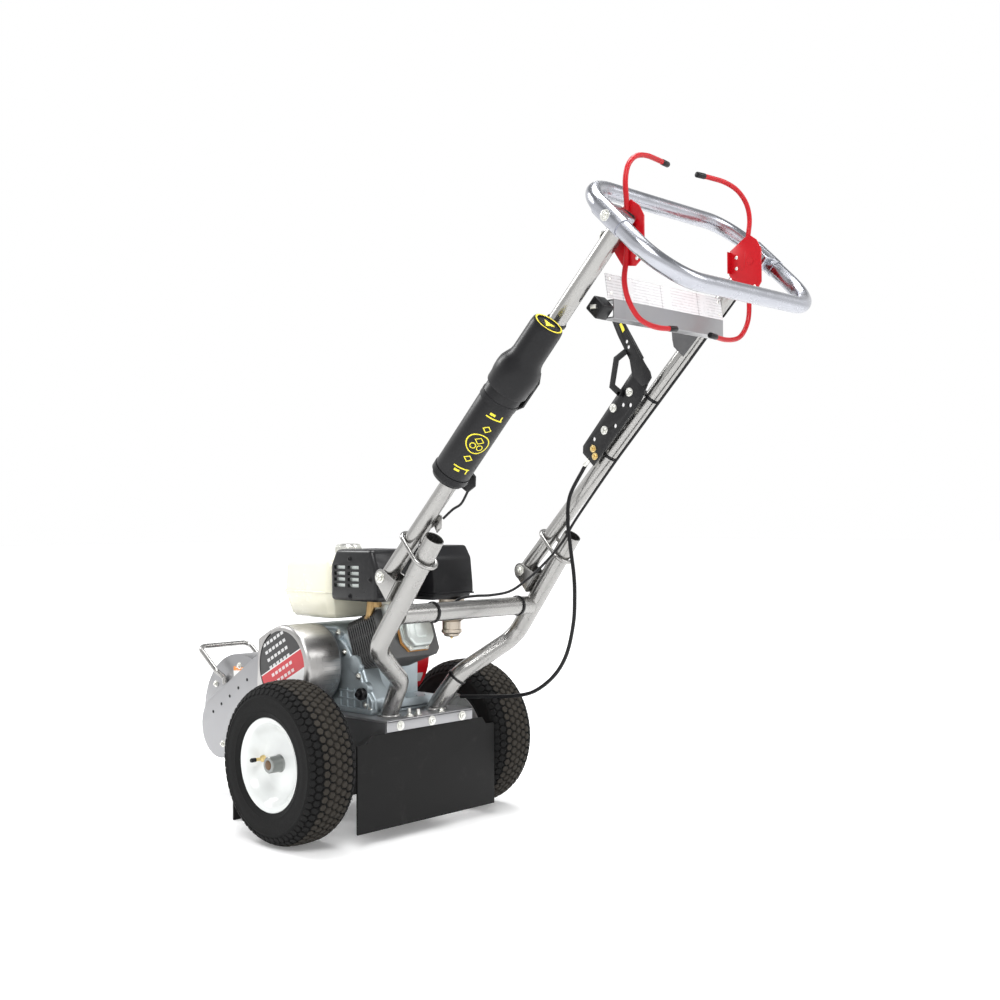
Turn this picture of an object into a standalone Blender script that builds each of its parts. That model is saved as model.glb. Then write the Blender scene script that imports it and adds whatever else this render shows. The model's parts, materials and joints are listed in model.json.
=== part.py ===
"""Walk-behind stump grinder with a folding handle.

The cutter points along -X, the operator stands at +X, and the machine's left side is -Y. Sizes are in
metres. Pieces are laid out with the axle above x = 0 and the ground at z = 0; one empty then centres the
whole machine along X, so that its box stands on the origin.
"""

import math

import bmesh
import bpy
from mathutils import Vector

GAP = 0.0003  # between pieces that touch
RUN = 0.0003  # radial clearance of a shaft in its hole

# Wheels and axle
TYRE_RADIUS = 0.165
TYRE_WIDTH = 0.114
RIM_RADIUS = 0.0946
WHEEL_Y = 0.255
AXLE_RADIUS = 0.0095
AXLE_OUT = 0.052
SPACER_RADIUS = 0.014

# Deck and flaps
DECK_TOP = 0.246
DECK_THICK = 0.005
DECK_HALF = 0.122
DECK_REAR = 0.150
DECK_FRONT = -0.2485
DECK_WIDE_FROM = -0.090
FLANGE_DEEP = 0.023
SIDE_THICK = 0.005
FLAP_THICK = 0.005
REAR_FLAP_HALF = 0.195
REAR_FLAP_TOP = 0.205
REAR_FLAP_LOW = 0.029
SKIRT_HALF = 0.216
SKIRT_TOP = 0.150

# Uprights and cross tube
UPRIGHT_RADIUS = 0.019
UPRIGHT_WALL = 0.002
UPRIGHT_FOOT_X = 0.092
UPRIGHT_FOOT_Y = 0.066
UPRIGHT_ELBOW_X = 0.207
UPRIGHT_ELBOW_Z = 0.399
CROSS_TUBE_Z = 0.470
UPRIGHT_TOP_X = 0.372
UPRIGHT_TOP_Z = 0.618

# Handle
HANDLE_ANGLE = math.radians(45.6)
HANDLE_RADIUS = 0.016
HANDLE_WALL = 0.002
HANDLE_Y = 0.197
PIVOT_X = 0.240
PIVOT_Z = 0.543
PIVOT_BOLT_RADIUS = 0.005
HANDLE_LENGTH = 0.827
HANDLE_TAIL = 0.020
HANDLE_HEAD = 0.014
LOOP_RADIUS = 0.015
LOOP_FRONT = 0.101
LOOP_BACK = 0.155
LOOP_CORNER = 0.085
LOOP_WALL = 0.002
BRACKET_SIDE = 0.003
BRACKET_TALL = 0.036

# Fittings on the handle, by their distance along the tubes from the pivot
RING_AT = 0.098
RING_TALL = 0.007
RING_WALL = 0.007
RING_SLACK = 0.0012
BAR_X = 0.758
BAR_TOP = 1.021
BAR_TALL = 0.032
BAR_DEEP = 0.028
LABEL_TALL = 0.042
LABEL_LEAN = 0.006
CANISTER_RADIUS = 0.034
CANISTER_WALL = 0.003
CANISTER_FROM = 0.284
CANISTER_TO = 0.540
CANISTER_OUT = 0.052
CANISTER_DROP = 0.029
CAP_RADIUS = 0.040
CAP_NECK_RADIUS = 0.029
CAP_FROM = 0.494
CAP_SHOULDER = 0.550
CAP_TO = 0.632
BRAKE_INSET = 0.029
BRAKE_THICK = 0.004
BRAKE_PIVOT = (0.518, 0.040)
SWITCH_AT = 0.681
SWITCH_RAISED = -0.034
SWITCH_INSET = 0.035
THROTTLE_AT = 0.700
LEVER_CLEAR = 0.005
LEVER_PIVOT_X = 0.822
LEVER_PIVOT_Z = 1.122
ROD_RADIUS = 0.0045

# Engine
CRANK_X = -0.102
CRANK_Z = 0.343
CRANK_RADIUS = 0.0095
CASE_HALF = 0.095
CASE_CLEAR = 0.003
CYLINDER_ANGLE = math.radians(20)
CYLINDER_FROM = 0.135
CYLINDER_TO = 0.202
FAN_RADIUS = 0.096
TANK_LOW = 0.446
TANK_HIGH = 0.575

# Cutter and belt drive
CUTTER_X = -0.395
CUTTER_Z = 0.197
CUTTER_Y = -0.060
CUTTER_RADIUS = 0.114
CUTTER_THICK = 0.018
TEETH = 12
SHAFT_RADIUS = 0.0127
HOOD_RADIUS = 0.145
HOOD_HALF = 0.040
HOOD_WALL = 0.003
GUARD_RADIUS = 0.088
GUARD_END_RADIUS = 0.085
GUARD_FACE = -0.195
GUARD_STEP = -0.152
GUARD_BACK = -0.105
GUARD_WALL = 0.0025
GUARD_CORNER_X = -0.197
GUARD_CHORD_END = -118
DRIVE_PULLEY = 0.040
DRIVEN_PULLEY = 0.052
BELT_Y = -0.130
BELT_THICK = 0.008
BELT_WIDTH = 0.010
LIFT_X = -0.530
LIFT_Z = 0.352
LIFT_RADIUS = 0.006

# Cables
CABLE_RADIUS = 0.0032
WIRE_RADIUS = 0.0025

WHEEL_STEPS = 20
TUBE_STEPS = 10
ALONG = Vector((math.cos(HANDLE_ANGLE), 0, math.sin(HANDLE_ANGLE)))
RAISED = Vector((-math.sin(HANDLE_ANGLE), 0, math.cos(HANDLE_ANGLE)))
ACROSS = Vector((0, 1, 0))
PIVOT = Vector((PIVOT_X, 0, PIVOT_Z))
CRANK = Vector((CRANK_X, 0, CRANK_Z))
CUTTER = Vector((CUTTER_X, 0, CUTTER_Z))
LOOP_AT = PIVOT + ALONG * HANDLE_LENGTH
LOOP_HALF = HANDLE_Y + HANDLE_RADIUS + LOOP_RADIUS + GAP
FRONT_END = min(LIFT_X - LIFT_RADIUS, CUTTER_X - HOOD_RADIUS)
REAR_END = (LOOP_AT - RAISED * LOOP_BACK).x + LOOP_RADIUS
BRAKE_Y = HANDLE_Y - BRAKE_INSET
SWITCH_Y = SWITCH_INSET - HANDLE_Y
LEVER_Y = HANDLE_Y - HANDLE_RADIUS - LEVER_CLEAR
CASE_REAR = UPRIGHT_FOOT_X - UPRIGHT_RADIUS - CASE_CLEAR
SIDES = (("left", -1), ("right", 1))


def clear_scene():
    for obj in list(bpy.data.objects):
        bpy.data.objects.remove(obj, do_unlink=True)


def finish(name, colour, roughness, metallic=0.0):
    made = bpy.data.materials.new(name)
    made.use_nodes = True
    shader = made.node_tree.nodes["Principled BSDF"]
    shader.inputs["Base Color"].default_value = (*colour, 1)
    shader.inputs["Roughness"].default_value = roughness
    shader.inputs["Metallic"].default_value = metallic
    return made


def finishes():
    return {
        "paint": finish("tube_paint", (0.60, 0.58, 0.55), 0.35, 0.6),
        "silver": finish("loop_silver", (0.66, 0.66, 0.66), 0.25, 0.8),
        "zinc": finish("zinc", (0.70, 0.70, 0.68), 0.35, 0.9),
        "steel": finish("steel", (0.55, 0.55, 0.56), 0.3, 1.0),
        "deck": finish("deck_paint", (0.55, 0.55, 0.55), 0.4, 0.5),
        "cast": finish("cast_aluminium", (0.55, 0.58, 0.60), 0.45, 0.8),
        "red": finish("red_paint", (0.70, 0.03, 0.04), 0.25),
        "white": finish("white_paint", (0.88, 0.88, 0.86), 0.25),
        "cream": finish("cream_paint", (0.84, 0.82, 0.70), 0.25),
        "tyre": finish("tyre_rubber", (0.03, 0.03, 0.03), 0.85),
        "rubber": finish("flap_rubber", (0.02, 0.02, 0.02), 0.7),
        "black": finish("black_plastic", (0.02, 0.02, 0.02), 0.4),
        "plate": finish("black_plate", (0.03, 0.03, 0.03), 0.35, 0.3),
        "pipe": finish("heated_steel", (0.35, 0.24, 0.12), 0.35, 0.9),
        "bronze": finish("carburettor_metal", (0.50, 0.46, 0.40), 0.4, 0.9),
    }


def add_object(name, bm, material, origin=(0, 0, 0)):
    """Make a shape drawn in machine coordinates an object with its origin at a given point."""
    bmesh.ops.translate(bm, verts=bm.verts, vec=-Vector(origin))
    bmesh.ops.recalc_face_normals(bm, faces=bm.faces)
    mesh = bpy.data.meshes.new(name)
    bm.to_mesh(mesh)
    bm.free()
    mesh.materials.append(material)
    mesh.shade_smooth()
    mesh.set_sharp_from_angle(angle=math.radians(35))
    obj = bpy.data.objects.new(name, mesh)
    obj.location = origin
    obj.parent = bpy.data.objects["machine"]
    bpy.context.scene.collection.objects.link(obj)
    return obj


def helper(name, bm):
    """A shape that only cuts or joins another."""
    obj = add_object(name, bm, bpy.data.materials["steel"])
    obj.hide_render = True
    obj.display_type = "WIRE"
    return obj


def combine(obj, operation, bm):
    other = helper(f"{obj.name}_{operation.lower()}_{len(obj.modifiers)}", bm)
    step = obj.modifiers.new(other.name, "BOOLEAN")
    step.operation = operation
    step.solver = "EXACT"
    step.object = other


def prism(outline, low, high, lay=lambda u, v, w: (u, w, v)):
    """An outline in (u, v) carried from low to high along w; lay turns (u, v, w) into a place."""
    bm = bmesh.new()
    rows = [[bm.verts.new(lay(u, v, w)) for u, v in outline] for w in (low, high)]
    count = len(outline)
    for i in range(count):
        j = (i + 1) % count
        bm.faces.new((rows[0][i], rows[0][j], rows[1][j], rows[1][i]))
    bm.faces.new(rows[0])
    bm.faces.new(reversed(rows[1]))
    return bm


def band(outer, inner, low, high, lay):
    """A closed strip between two outlines with as many points, carried from low to high."""
    bm = bmesh.new()
    loops = []
    for w in (low, high):
        for outline in (outer, inner):
            loops.append([bm.verts.new(lay(u, v, w)) for u, v in outline])
    low_out, low_in, high_out, high_in = loops
    count = len(outer)
    for one, two in ((low_out, low_in), (low_in, high_in), (high_in, high_out), (high_out, low_out)):
        for i in range(count):
            j = (i + 1) % count
            bm.faces.new((one[i], one[j], two[j], two[i]))
    return bm


def box(low, high):
    outline = ((low[0], low[2]), (high[0], low[2]), (high[0], high[2]), (low[0], high[2]))
    return prism(outline, low[1], high[1])


def turned(profile, centre, axis, start, steps, closed=False):
    """Points (radius, height) turned about an axis. A closed profile makes a ring."""
    axis, start = Vector(axis), Vector(start)
    side = axis.cross(start)
    bm = bmesh.new()
    rings = []
    for radius, height in profile:
        middle = Vector(centre) + axis * height
        if radius == 0:
            rings.append([bm.verts.new(middle)] * steps)
            continue
        ring = []
        for step in range(steps):
            turn = math.tau * (step + 0.5) / steps
            spoke = start * math.cos(turn) + side * math.sin(turn)
            ring.append(bm.verts.new(middle + spoke * radius))
        rings.append(ring)
    pairs = list(zip(rings, rings[1:] + rings[:1])) if closed else list(zip(rings, rings[1:]))
    for one, two in pairs:
        for i in range(steps):
            j = (i + 1) % steps
            corners = []
            for vert in (one[i], one[j], two[j], two[i]):
                if vert not in corners:
                    corners.append(vert)
            if len(corners) > 2:
                bm.faces.new(corners)
    return bm


def rod_between(start, end, radius, steps=TUBE_STEPS):
    """A plain round bar. A bar along Y has its flats where every other round piece along Y has them."""
    start, end = Vector(start), Vector(end)
    axis = (end - start).normalized()
    up = Vector((0, 0, 1)) if abs(axis.z) < 0.9 else Vector((1, 0, 0))
    up = (up - axis * up.dot(axis)).normalized()
    length = (end - start).length
    return turned(((0, 0), (radius, 0), (radius, length), (0, length)), start, axis, up, steps)


def bent(points, radius, steps=5, closed=False):
    """A run of straight lines with its corners rounded off, as a bent tube lies."""
    points = [Vector(point) for point in points]
    count = len(points)
    radii = radius if isinstance(radius, (tuple, list)) else [radius] * count
    path = []
    for i in range(count):
        if not closed and i in (0, count - 1):
            path.append(points[i])
            continue
        corner = points[i]
        back = (points[i - 1] - corner).normalized()
        ahead = (points[(i + 1) % count] - corner).normalized()
        half = back.angle(ahead) / 2
        room = min((points[i - 1] - corner).length, (points[(i + 1) % count] - corner).length) * 0.49
        reach = min(radii[i] / math.tan(half), room)
        middle = corner + (back + ahead).normalized() * (reach / math.cos(half))
        first, last = corner + back * reach - middle, corner + ahead * reach - middle
        turn = first.angle(last)
        for step in range(steps + 1):
            gone = turn * step / steps
            path.append(middle + (first * math.sin(turn - gone) + last * math.sin(gone)) / math.sin(turn))
    return path


def swept(path, radius, wall=0.0, steps=TUBE_STEPS, first=None, last=None):
    """A round tube along a path, solid unless it has a wall. first and last can turn its end faces."""
    path = [Vector(point) for point in path]
    ways = []
    for i in range(len(path)):
        before = (path[i] - path[max(i - 1, 0)]).normalized()
        after = (path[min(i + 1, len(path) - 1)] - path[i]).normalized()
        ways.append((before + after).normalized())
    ways[0] = Vector(first) if first else ways[0]
    ways[-1] = Vector(last) if last else ways[-1]
    side = ways[0].orthogonal().normalized()
    bm = bmesh.new()
    rings = {True: [], False: []}
    for point, way in zip(path, ways):
        side = (side - way * side.dot(way)).normalized()
        other = way.cross(side)
        for outside in (True, False) if wall else (True,):
            reach = radius if outside else radius - wall
            ring = []
            for step in range(steps):
                turn = math.tau * (step + 0.5) / steps
                spoke = side * math.cos(turn) + other * math.sin(turn)
                ring.append(bm.verts.new(point + spoke * reach))
            rings[outside].append(ring)
    strips = list(zip(rings[True], rings[True][1:])) + list(zip(rings[False], rings[False][1:]))
    if wall:
        strips += [(rings[False][0], rings[True][0]), (rings[True][-1], rings[False][-1])]
    else:
        bm.faces.new(rings[True][0])
        bm.faces.new(rings[True][-1])
    for one, two in strips:
        for i in range(steps):
            j = (i + 1) % steps
            bm.faces.new((one[i], one[j], two[j], two[i]))
    return bm


def smooth_route(points, spacing):
    """Even points on a smooth curve through the route's own points."""
    points = [Vector(point) for point in points]
    ends = [points[0] * 2 - points[1], *points, points[-1] * 2 - points[-2]]
    dense = []
    for a, b, c, d in zip(ends, ends[1:], ends[2:], ends[3:]):
        for step in range(24):
            t = step / 24
            dense.append(
                0.5 * (2 * b + (c - a) * t + (2 * a - 5 * b + 4 * c - d) * t**2 + (3 * b - a - 3 * c + d) * t**3)
            )
    dense.append(points[-1])
    total = sum((b - a).length for a, b in zip(dense, dense[1:]))
    count = max(2, round(total / spacing))
    even = [dense[0]]
    gone = 0.0
    for a, b in zip(dense, dense[1:]):
        step = (b - a).length
        while len(even) < count and gone + step >= total * len(even) / count:
            even.append(a.lerp(b, (total * len(even) / count - gone) / step))
        gone += step
    return even + [dense[-1]]


def add_cable(name, points, radius, material):
    """A flexible cable as a curve with a round bevel."""
    path = smooth_route(points, radius * 5.8)
    curve = bpy.data.curves.new(name, "CURVE")
    curve.dimensions = "3D"
    curve.bevel_depth = radius
    curve.bevel_resolution = 2
    curve.use_fill_caps = True
    spline = curve.splines.new("POLY")
    spline.points.add(len(path) - 1)
    for point, place in zip(spline.points, path):
        point.co = (*place, 1)
    curve.materials.append(material)
    obj = bpy.data.objects.new(name, curve)
    obj.parent = bpy.data.objects["machine"]
    bpy.context.scene.collection.objects.link(obj)


def arc(centre, radius, start, end, steps):
    """Points (u, v) along an arc, with angles in degrees."""
    points = []
    for step in range(steps + 1):
        turn = math.radians(start + (end - start) * step / steps)
        points.append((centre[0] + radius * math.cos(turn), centre[1] + radius * math.sin(turn)))
    return points


def two_circle_outline(a, radius_a, b, radius_b, steps):
    """The outline of a belt round two circles, as (u, v) points."""
    a, b = Vector(a), Vector(b)
    way = math.degrees(math.atan2(b.y - a.y, b.x - a.x))
    lean = math.degrees(math.acos((radius_a - radius_b) / (b - a).length))
    round_a = arc(a, radius_a, way + lean, way + 360 - lean, steps)
    round_b = arc(b, radius_b, way - lean, way + lean, steps)
    return round_a + round_b


def on_handle(along, raised, y):
    """A place by its distance along the handle tubes from the pivot and its height above their axis."""
    return PIVOT + ALONG * along + RAISED * raised + ACROSS * y


def lay_on_handle(u, v, w):
    return on_handle(u, v, w)


def round_hole(x, z, low, high, radius, steps=TUBE_STEPS):
    return rod_between((x, low, z), (x, high, z), radius / math.cos(math.pi / steps), steps)


def build_wheels(look):
    rim_edge = TYRE_WIDTH / 2 - 0.007
    tread = 0.022
    shoulder = TYRE_WIDTH / 2 - 0.010
    bead = RIM_RADIUS + RUN
    flat_radius = TYRE_RADIUS / math.cos(math.pi / WHEEL_STEPS)
    half = TYRE_WIDTH / 2
    outer = (
        (bead, rim_edge + 0.001),
        (bead + 0.022, half),
        (flat_radius - 0.022, half - 0.003),
        (flat_radius - 0.006, shoulder),
        (flat_radius, tread),
    )
    inner = ((flat_radius - 0.010, tread), (flat_radius - 0.020, shoulder - 0.006), (bead + 0.022, half - 0.007))
    crown = [*outer, *[(r, -h) for r, h in reversed(outer)]]
    hollow = [(bead, 0.008 - rim_edge), *[(r, -h) for r, h in reversed(inner)], *inner, (bead, rim_edge - 0.008)]
    bore = AXLE_RADIUS / math.cos(math.pi / WHEEL_STEPS) + RUN
    face = 0.021
    rim = (
        (bore, -0.028),
        (bore, rim_edge),
        (0.0165, rim_edge),
        (0.0165, face),
        (0.055, face - 0.003),
        (0.080, face + 0.003),
        (RIM_RADIUS - 0.006, rim_edge - 0.001),
        (RIM_RADIUS, rim_edge),
        (RIM_RADIUS, -rim_edge),
        (RIM_RADIUS - 0.004, -rim_edge),
        (RIM_RADIUS - 0.007, face - 0.008),
        (0.055, face - 0.0065),
        (0.0165, face - 0.0035),
        (0.0165, -0.028),
    )
    spacer = DECK_HALF + GAP, WHEEL_Y - 0.028 - GAP
    for side, sign in SIDES:
        centre = (0, sign * WHEEL_Y, TYRE_RADIUS)
        way = (0, sign, 0)
        up = (0, 0, 1)
        ring = crown + hollow
        add_object(f"tyre_{side}", turned(ring, centre, way, up, WHEEL_STEPS, True), look["tyre"], centre)
        add_object(f"rim_{side}", turned(rim, centre, way, up, WHEEL_STEPS, True), look["white"], centre)
        tube = ((bore, spacer[0]), (SPACER_RADIUS, spacer[0]), (SPACER_RADIUS, spacer[1]), (bore, spacer[1]))
        middle = (0, 0, TYRE_RADIUS)
        add_object(f"axle_spacer_{side}", turned(tube, middle, way, up, WHEEL_STEPS, True), look["zinc"])
    ends = (0, -(WHEEL_Y + AXLE_OUT), TYRE_RADIUS), (0, (WHEEL_Y + AXLE_OUT), TYRE_RADIUS)
    add_object("axle", rod_between(*ends, AXLE_RADIUS), look["steel"])


def build_deck(look):
    under = DECK_TOP - DECK_THICK
    inside = DECK_REAR - DECK_THICK
    section = (
        (DECK_FRONT, under),
        (DECK_FRONT, DECK_TOP),
        (DECK_REAR, DECK_TOP),
        (DECK_REAR, DECK_TOP - FLANGE_DEEP),
        (inside, DECK_TOP - FLANGE_DEEP),
        (inside, under),
    )
    deck = add_object("deck", prism(section, -DECK_HALF, DECK_HALF), look["deck"])
    nose = -GUARD_BACK - 0.0015
    for sign in (-1, 1):
        low, high = sorted((sign * nose, sign * (DECK_HALF + 0.01)))
        corner = (DECK_FRONT - 0.01, low, under - 0.01), (DECK_WIDE_FROM, high, DECK_TOP + 0.01)
        combine(deck, "DIFFERENCE", box(*corner))
    top = under - GAP
    low = TYRE_RADIUS - 0.028
    plate = (
        (DECK_WIDE_FROM, top),
        (DECK_WIDE_FROM, top - 0.034),
        (-0.070, low + 0.012),
        (-0.035, low),
        (0.035, low),
        (0.070, low + 0.012),
        (0.092, top - 0.030),
        (inside - GAP, top - 0.018),
        (inside - GAP, top),
    )
    for side, sign in SIDES:
        faces = sorted((sign * DECK_HALF, sign * (DECK_HALF - SIDE_THICK)))
        obj = add_object(f"side_plate_{side}", prism(plate, *faces), look["deck"])
        hole = round_hole(0, TYRE_RADIUS, faces[0] - 0.01, faces[1] + 0.01, AXLE_RADIUS + RUN)
        combine(obj, "DIFFERENCE", hole)
    tongue = DECK_HALF - SIDE_THICK - 0.002
    flap = (
        (-REAR_FLAP_HALF, REAR_FLAP_TOP),
        (-REAR_FLAP_HALF, REAR_FLAP_LOW),
        (REAR_FLAP_HALF, REAR_FLAP_LOW),
        (REAR_FLAP_HALF, REAR_FLAP_TOP),
        (tongue, REAR_FLAP_TOP),
        (tongue, under - 0.002),
        (-tongue, under - 0.002),
        (-tongue, REAR_FLAP_TOP),
    )
    face = inside - GAP
    sheet = prism(flap, face - FLAP_THICK, face, lambda u, v, w: (w, u, v))
    add_object("rear_flap", sheet, look["rubber"])
    hood_side = CUTTER_Y + HOOD_HALF + 0.002
    skirt = (
        (-SKIRT_HALF, 0),
        (SKIRT_HALF, 0),
        (SKIRT_HALF, SKIRT_TOP),
        (nose, SKIRT_TOP),
        (nose, DECK_TOP),
        (hood_side, DECK_TOP),
        (hood_side, SKIRT_TOP),
        (-SKIRT_HALF, SKIRT_TOP),
    )
    face = DECK_FRONT - GAP
    sheet = prism(skirt, face - FLAP_THICK, face, lambda u, v, w: (w, u, v))
    add_object("front_skirt", sheet, look["rubber"])


def upright_path(sign):
    """The centre line of an upright: off the deck, out sideways, then up to the open top."""
    points = (
        (UPRIGHT_FOOT_X, UPRIGHT_FOOT_Y, DECK_TOP + GAP),
        (UPRIGHT_FOOT_X + 0.010, UPRIGHT_FOOT_Y + 0.003, DECK_TOP + 0.016),
        (UPRIGHT_FOOT_X + 0.058, UPRIGHT_FOOT_Y + 0.019, DECK_TOP + 0.079),
        (UPRIGHT_ELBOW_X, HANDLE_Y, UPRIGHT_ELBOW_Z),
        (UPRIGHT_TOP_X, HANDLE_Y, UPRIGHT_TOP_Z),
    )
    radii = (0, 0.010, 0.05, 0.06, 0)
    return bent([(x, sign * y, z) for x, y, z in points], radii, 4)


def build_frame(look):
    run = Vector((UPRIGHT_TOP_X - UPRIGHT_ELBOW_X, 0, UPRIGHT_TOP_Z - UPRIGHT_ELBOW_Z)).normalized()
    out = Vector((-run.z, 0, run.x))
    bend = Vector((UPRIGHT_ELBOW_X, 0, UPRIGHT_ELBOW_Z))
    reach = (PIVOT - bend).dot(out)
    height = (PIVOT - bend).dot(run)
    web = UPRIGHT_RADIUS + 0.0005
    cheek = HANDLE_RADIUS + 0.0005

    def lay(u, v, w):
        return bend + out * u + ACROSS * v + run * (height + w)

    for side, sign in SIDES:
        tube = swept(upright_path(sign), UPRIGHT_RADIUS, UPRIGHT_WALL, first=(0, 0, 1))
        add_object(f"upright_{side}", tube, look["paint"])
        y = sign * HANDLE_Y
        wide = cheek + BRACKET_SIDE
        outline = (
            (web, y - wide),
            (reach + 0.012, y - wide),
            (reach + 0.012, y - cheek),
            (web + BRACKET_SIDE, y - cheek),
            (web + BRACKET_SIDE, y + cheek),
            (reach + 0.012, y + cheek),
            (reach + 0.012, y + wide),
            (web, y + wide),
        )
        bracket = prism(outline, -BRACKET_TALL / 2, BRACKET_TALL / 2, lay)
        obj = add_object(f"pivot_bracket_{side}", bracket, look["paint"])
        combine(obj, "DIFFERENCE", round_hole(PIVOT_X, PIVOT_Z, y - 0.04, y + 0.04, PIVOT_BOLT_RADIUS + RUN))
        head = 0.009
        out_face = wide + GAP
        bolt = (
            (0, out_face + 0.006),
            (head, out_face + 0.006),
            (head, out_face),
            (PIVOT_BOLT_RADIUS, out_face),
            (PIVOT_BOLT_RADIUS, -out_face),
            (head, -out_face),
            (head, -out_face - 0.006),
            (0, -out_face - 0.006),
        )
        centre = (PIVOT_X, y, PIVOT_Z)
        bar = turned(bolt, centre, (0, sign, 0), (0, 0, 1), TUBE_STEPS)
        add_object(f"pivot_bolt_{side}", bar, look["zinc"], centre)
    half = HANDLE_Y - UPRIGHT_RADIUS - 0.002
    rise = (CROSS_TUBE_Z - UPRIGHT_ELBOW_Z) / run.z
    ends = [bend + run * rise + ACROSS * y for y in (-half, half)]
    add_object("cross_tube", swept(ends, UPRIGHT_RADIUS, UPRIGHT_WALL), look["paint"])


def build_handle(look):
    for side, sign in SIDES:
        y = sign * HANDLE_Y
        ends = on_handle(-HANDLE_TAIL, 0, y), on_handle(HANDLE_LENGTH + HANDLE_HEAD, 0, y)
        origin = PIVOT + ACROSS * y
        obj = add_object(f"handle_tube_{side}", swept(ends, HANDLE_RADIUS, HANDLE_WALL), look["paint"], origin)
        combine(obj, "DIFFERENCE", round_hole(PIVOT_X, PIVOT_Z, y - 0.04, y + 0.04, PIVOT_BOLT_RADIUS + RUN))
    butt = 0.0004
    corners = (
        (butt, LOOP_HALF),
        (LOOP_FRONT, LOOP_HALF),
        (LOOP_FRONT, -LOOP_HALF),
        (-LOOP_BACK, -LOOP_HALF),
        (-LOOP_BACK, LOOP_HALF),
        (-butt, LOOP_HALF),
    )
    path = bent([LOOP_AT + RAISED * u + ACROSS * v for u, v in corners], LOOP_CORNER, 5)
    add_object("handle_loop", swept(path, LOOP_RADIUS, LOOP_WALL), look["silver"])


def build_bar(look):
    """The channel between the handle tubes, and the plate above it that faces the operator."""
    half = HANDLE_Y - HANDLE_RADIUS - 0.0005
    wall = 0.0025
    x, top = BAR_X, BAR_TOP
    channel = (
        (x, top - BAR_TALL),
        (x, top),
        (x - BAR_DEEP, top),
        (x - BAR_DEEP, top - wall),
        (x - wall, top - wall),
        (x - wall, top - BAR_TALL + wall),
        (x - BAR_DEEP, top - BAR_TALL + wall),
        (x - BAR_DEEP, top - BAR_TALL),
    )
    add_object("cross_bar", prism(channel, SWITCH_Y + 0.0155, half), look["deck"])
    thick = 0.002
    lean = LABEL_LEAN
    label = (
        (x, top + GAP),
        (x - lean, top + LABEL_TALL),
        (x - lean - thick, top + LABEL_TALL),
        (x - thick, top + GAP),
    )
    add_object("label_plate", prism(label, SWITCH_Y, half), look["white"])


def build_canister(look):
    y = -HANDLE_Y - CANISTER_OUT
    centre = on_handle(0, -CANISTER_DROP, y)
    inner = CANISTER_RADIUS - CANISTER_WALL
    tube = (
        (0, CANISTER_FROM),
        (CANISTER_RADIUS, CANISTER_FROM),
        (CANISTER_RADIUS, CANISTER_TO),
        (inner, CANISTER_TO),
        (inner, CANISTER_FROM + CANISTER_WALL),
        (0, CANISTER_FROM + CANISTER_WALL),
    )
    add_object("document_tube", turned(tube, centre, ALONG, RAISED, WHEEL_STEPS), look["black"])
    mouth = CANISTER_RADIUS + 2 * GAP
    neck = CAP_NECK_RADIUS - CANISTER_WALL
    cap = (
        (mouth, CAP_FROM),
        (CAP_RADIUS, CAP_FROM + 0.006),
        (CAP_RADIUS, CAP_SHOULDER - 0.008),
        (CAP_NECK_RADIUS, CAP_SHOULDER),
        (CAP_NECK_RADIUS, CAP_TO),
        (0, CAP_TO),
        (0, CAP_TO - CANISTER_WALL),
        (neck, CAP_TO - CANISTER_WALL),
        (neck, CAP_SHOULDER - 0.003),
        (mouth, CAP_SHOULDER - 0.005),
    )
    shell = turned(cap, centre, ALONG, RAISED, WHEEL_STEPS, True)
    add_object("document_cap", shell, look["black"], centre + ALONG * CAP_FROM)


def lock_ring_outline(slack, wall):
    """Both tubes' outline where the ring crosses them, as (raised, y) points."""
    bend = Vector((UPRIGHT_ELBOW_X, 0, UPRIGHT_ELBOW_Z))
    run = Vector((UPRIGHT_TOP_X - UPRIGHT_ELBOW_X, 0, UPRIGHT_TOP_Z - UPRIGHT_ELBOW_Z)).normalized()
    along = (RING_AT - (bend - PIVOT).dot(ALONG)) / run.dot(ALONG)
    upright = (bend + run * along - PIVOT).dot(RAISED)
    tilt = run.angle(ALONG)
    across = 1.5 * slack + RING_TALL / 2 * math.tan(tilt) + UPRIGHT_RADIUS / math.cos(tilt)
    return two_circle_outline((0, 0), HANDLE_RADIUS + slack + wall, (upright, 0), across + wall, 7)


def build_lock_rings(look):
    outer = lock_ring_outline(RING_SLACK, RING_WALL)
    inner = lock_ring_outline(RING_SLACK, 0)
    for side, sign in SIDES:

        def lay(u, v, w, y=sign * HANDLE_Y):
            return on_handle(w, u, y + v)

        ring = band(outer, inner, RING_AT - RING_TALL / 2, RING_AT + RING_TALL / 2, lay)
        add_object(f"lock_ring_{side}", ring, look["paint"], on_handle(RING_AT, 0, sign * HANDLE_Y))


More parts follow.
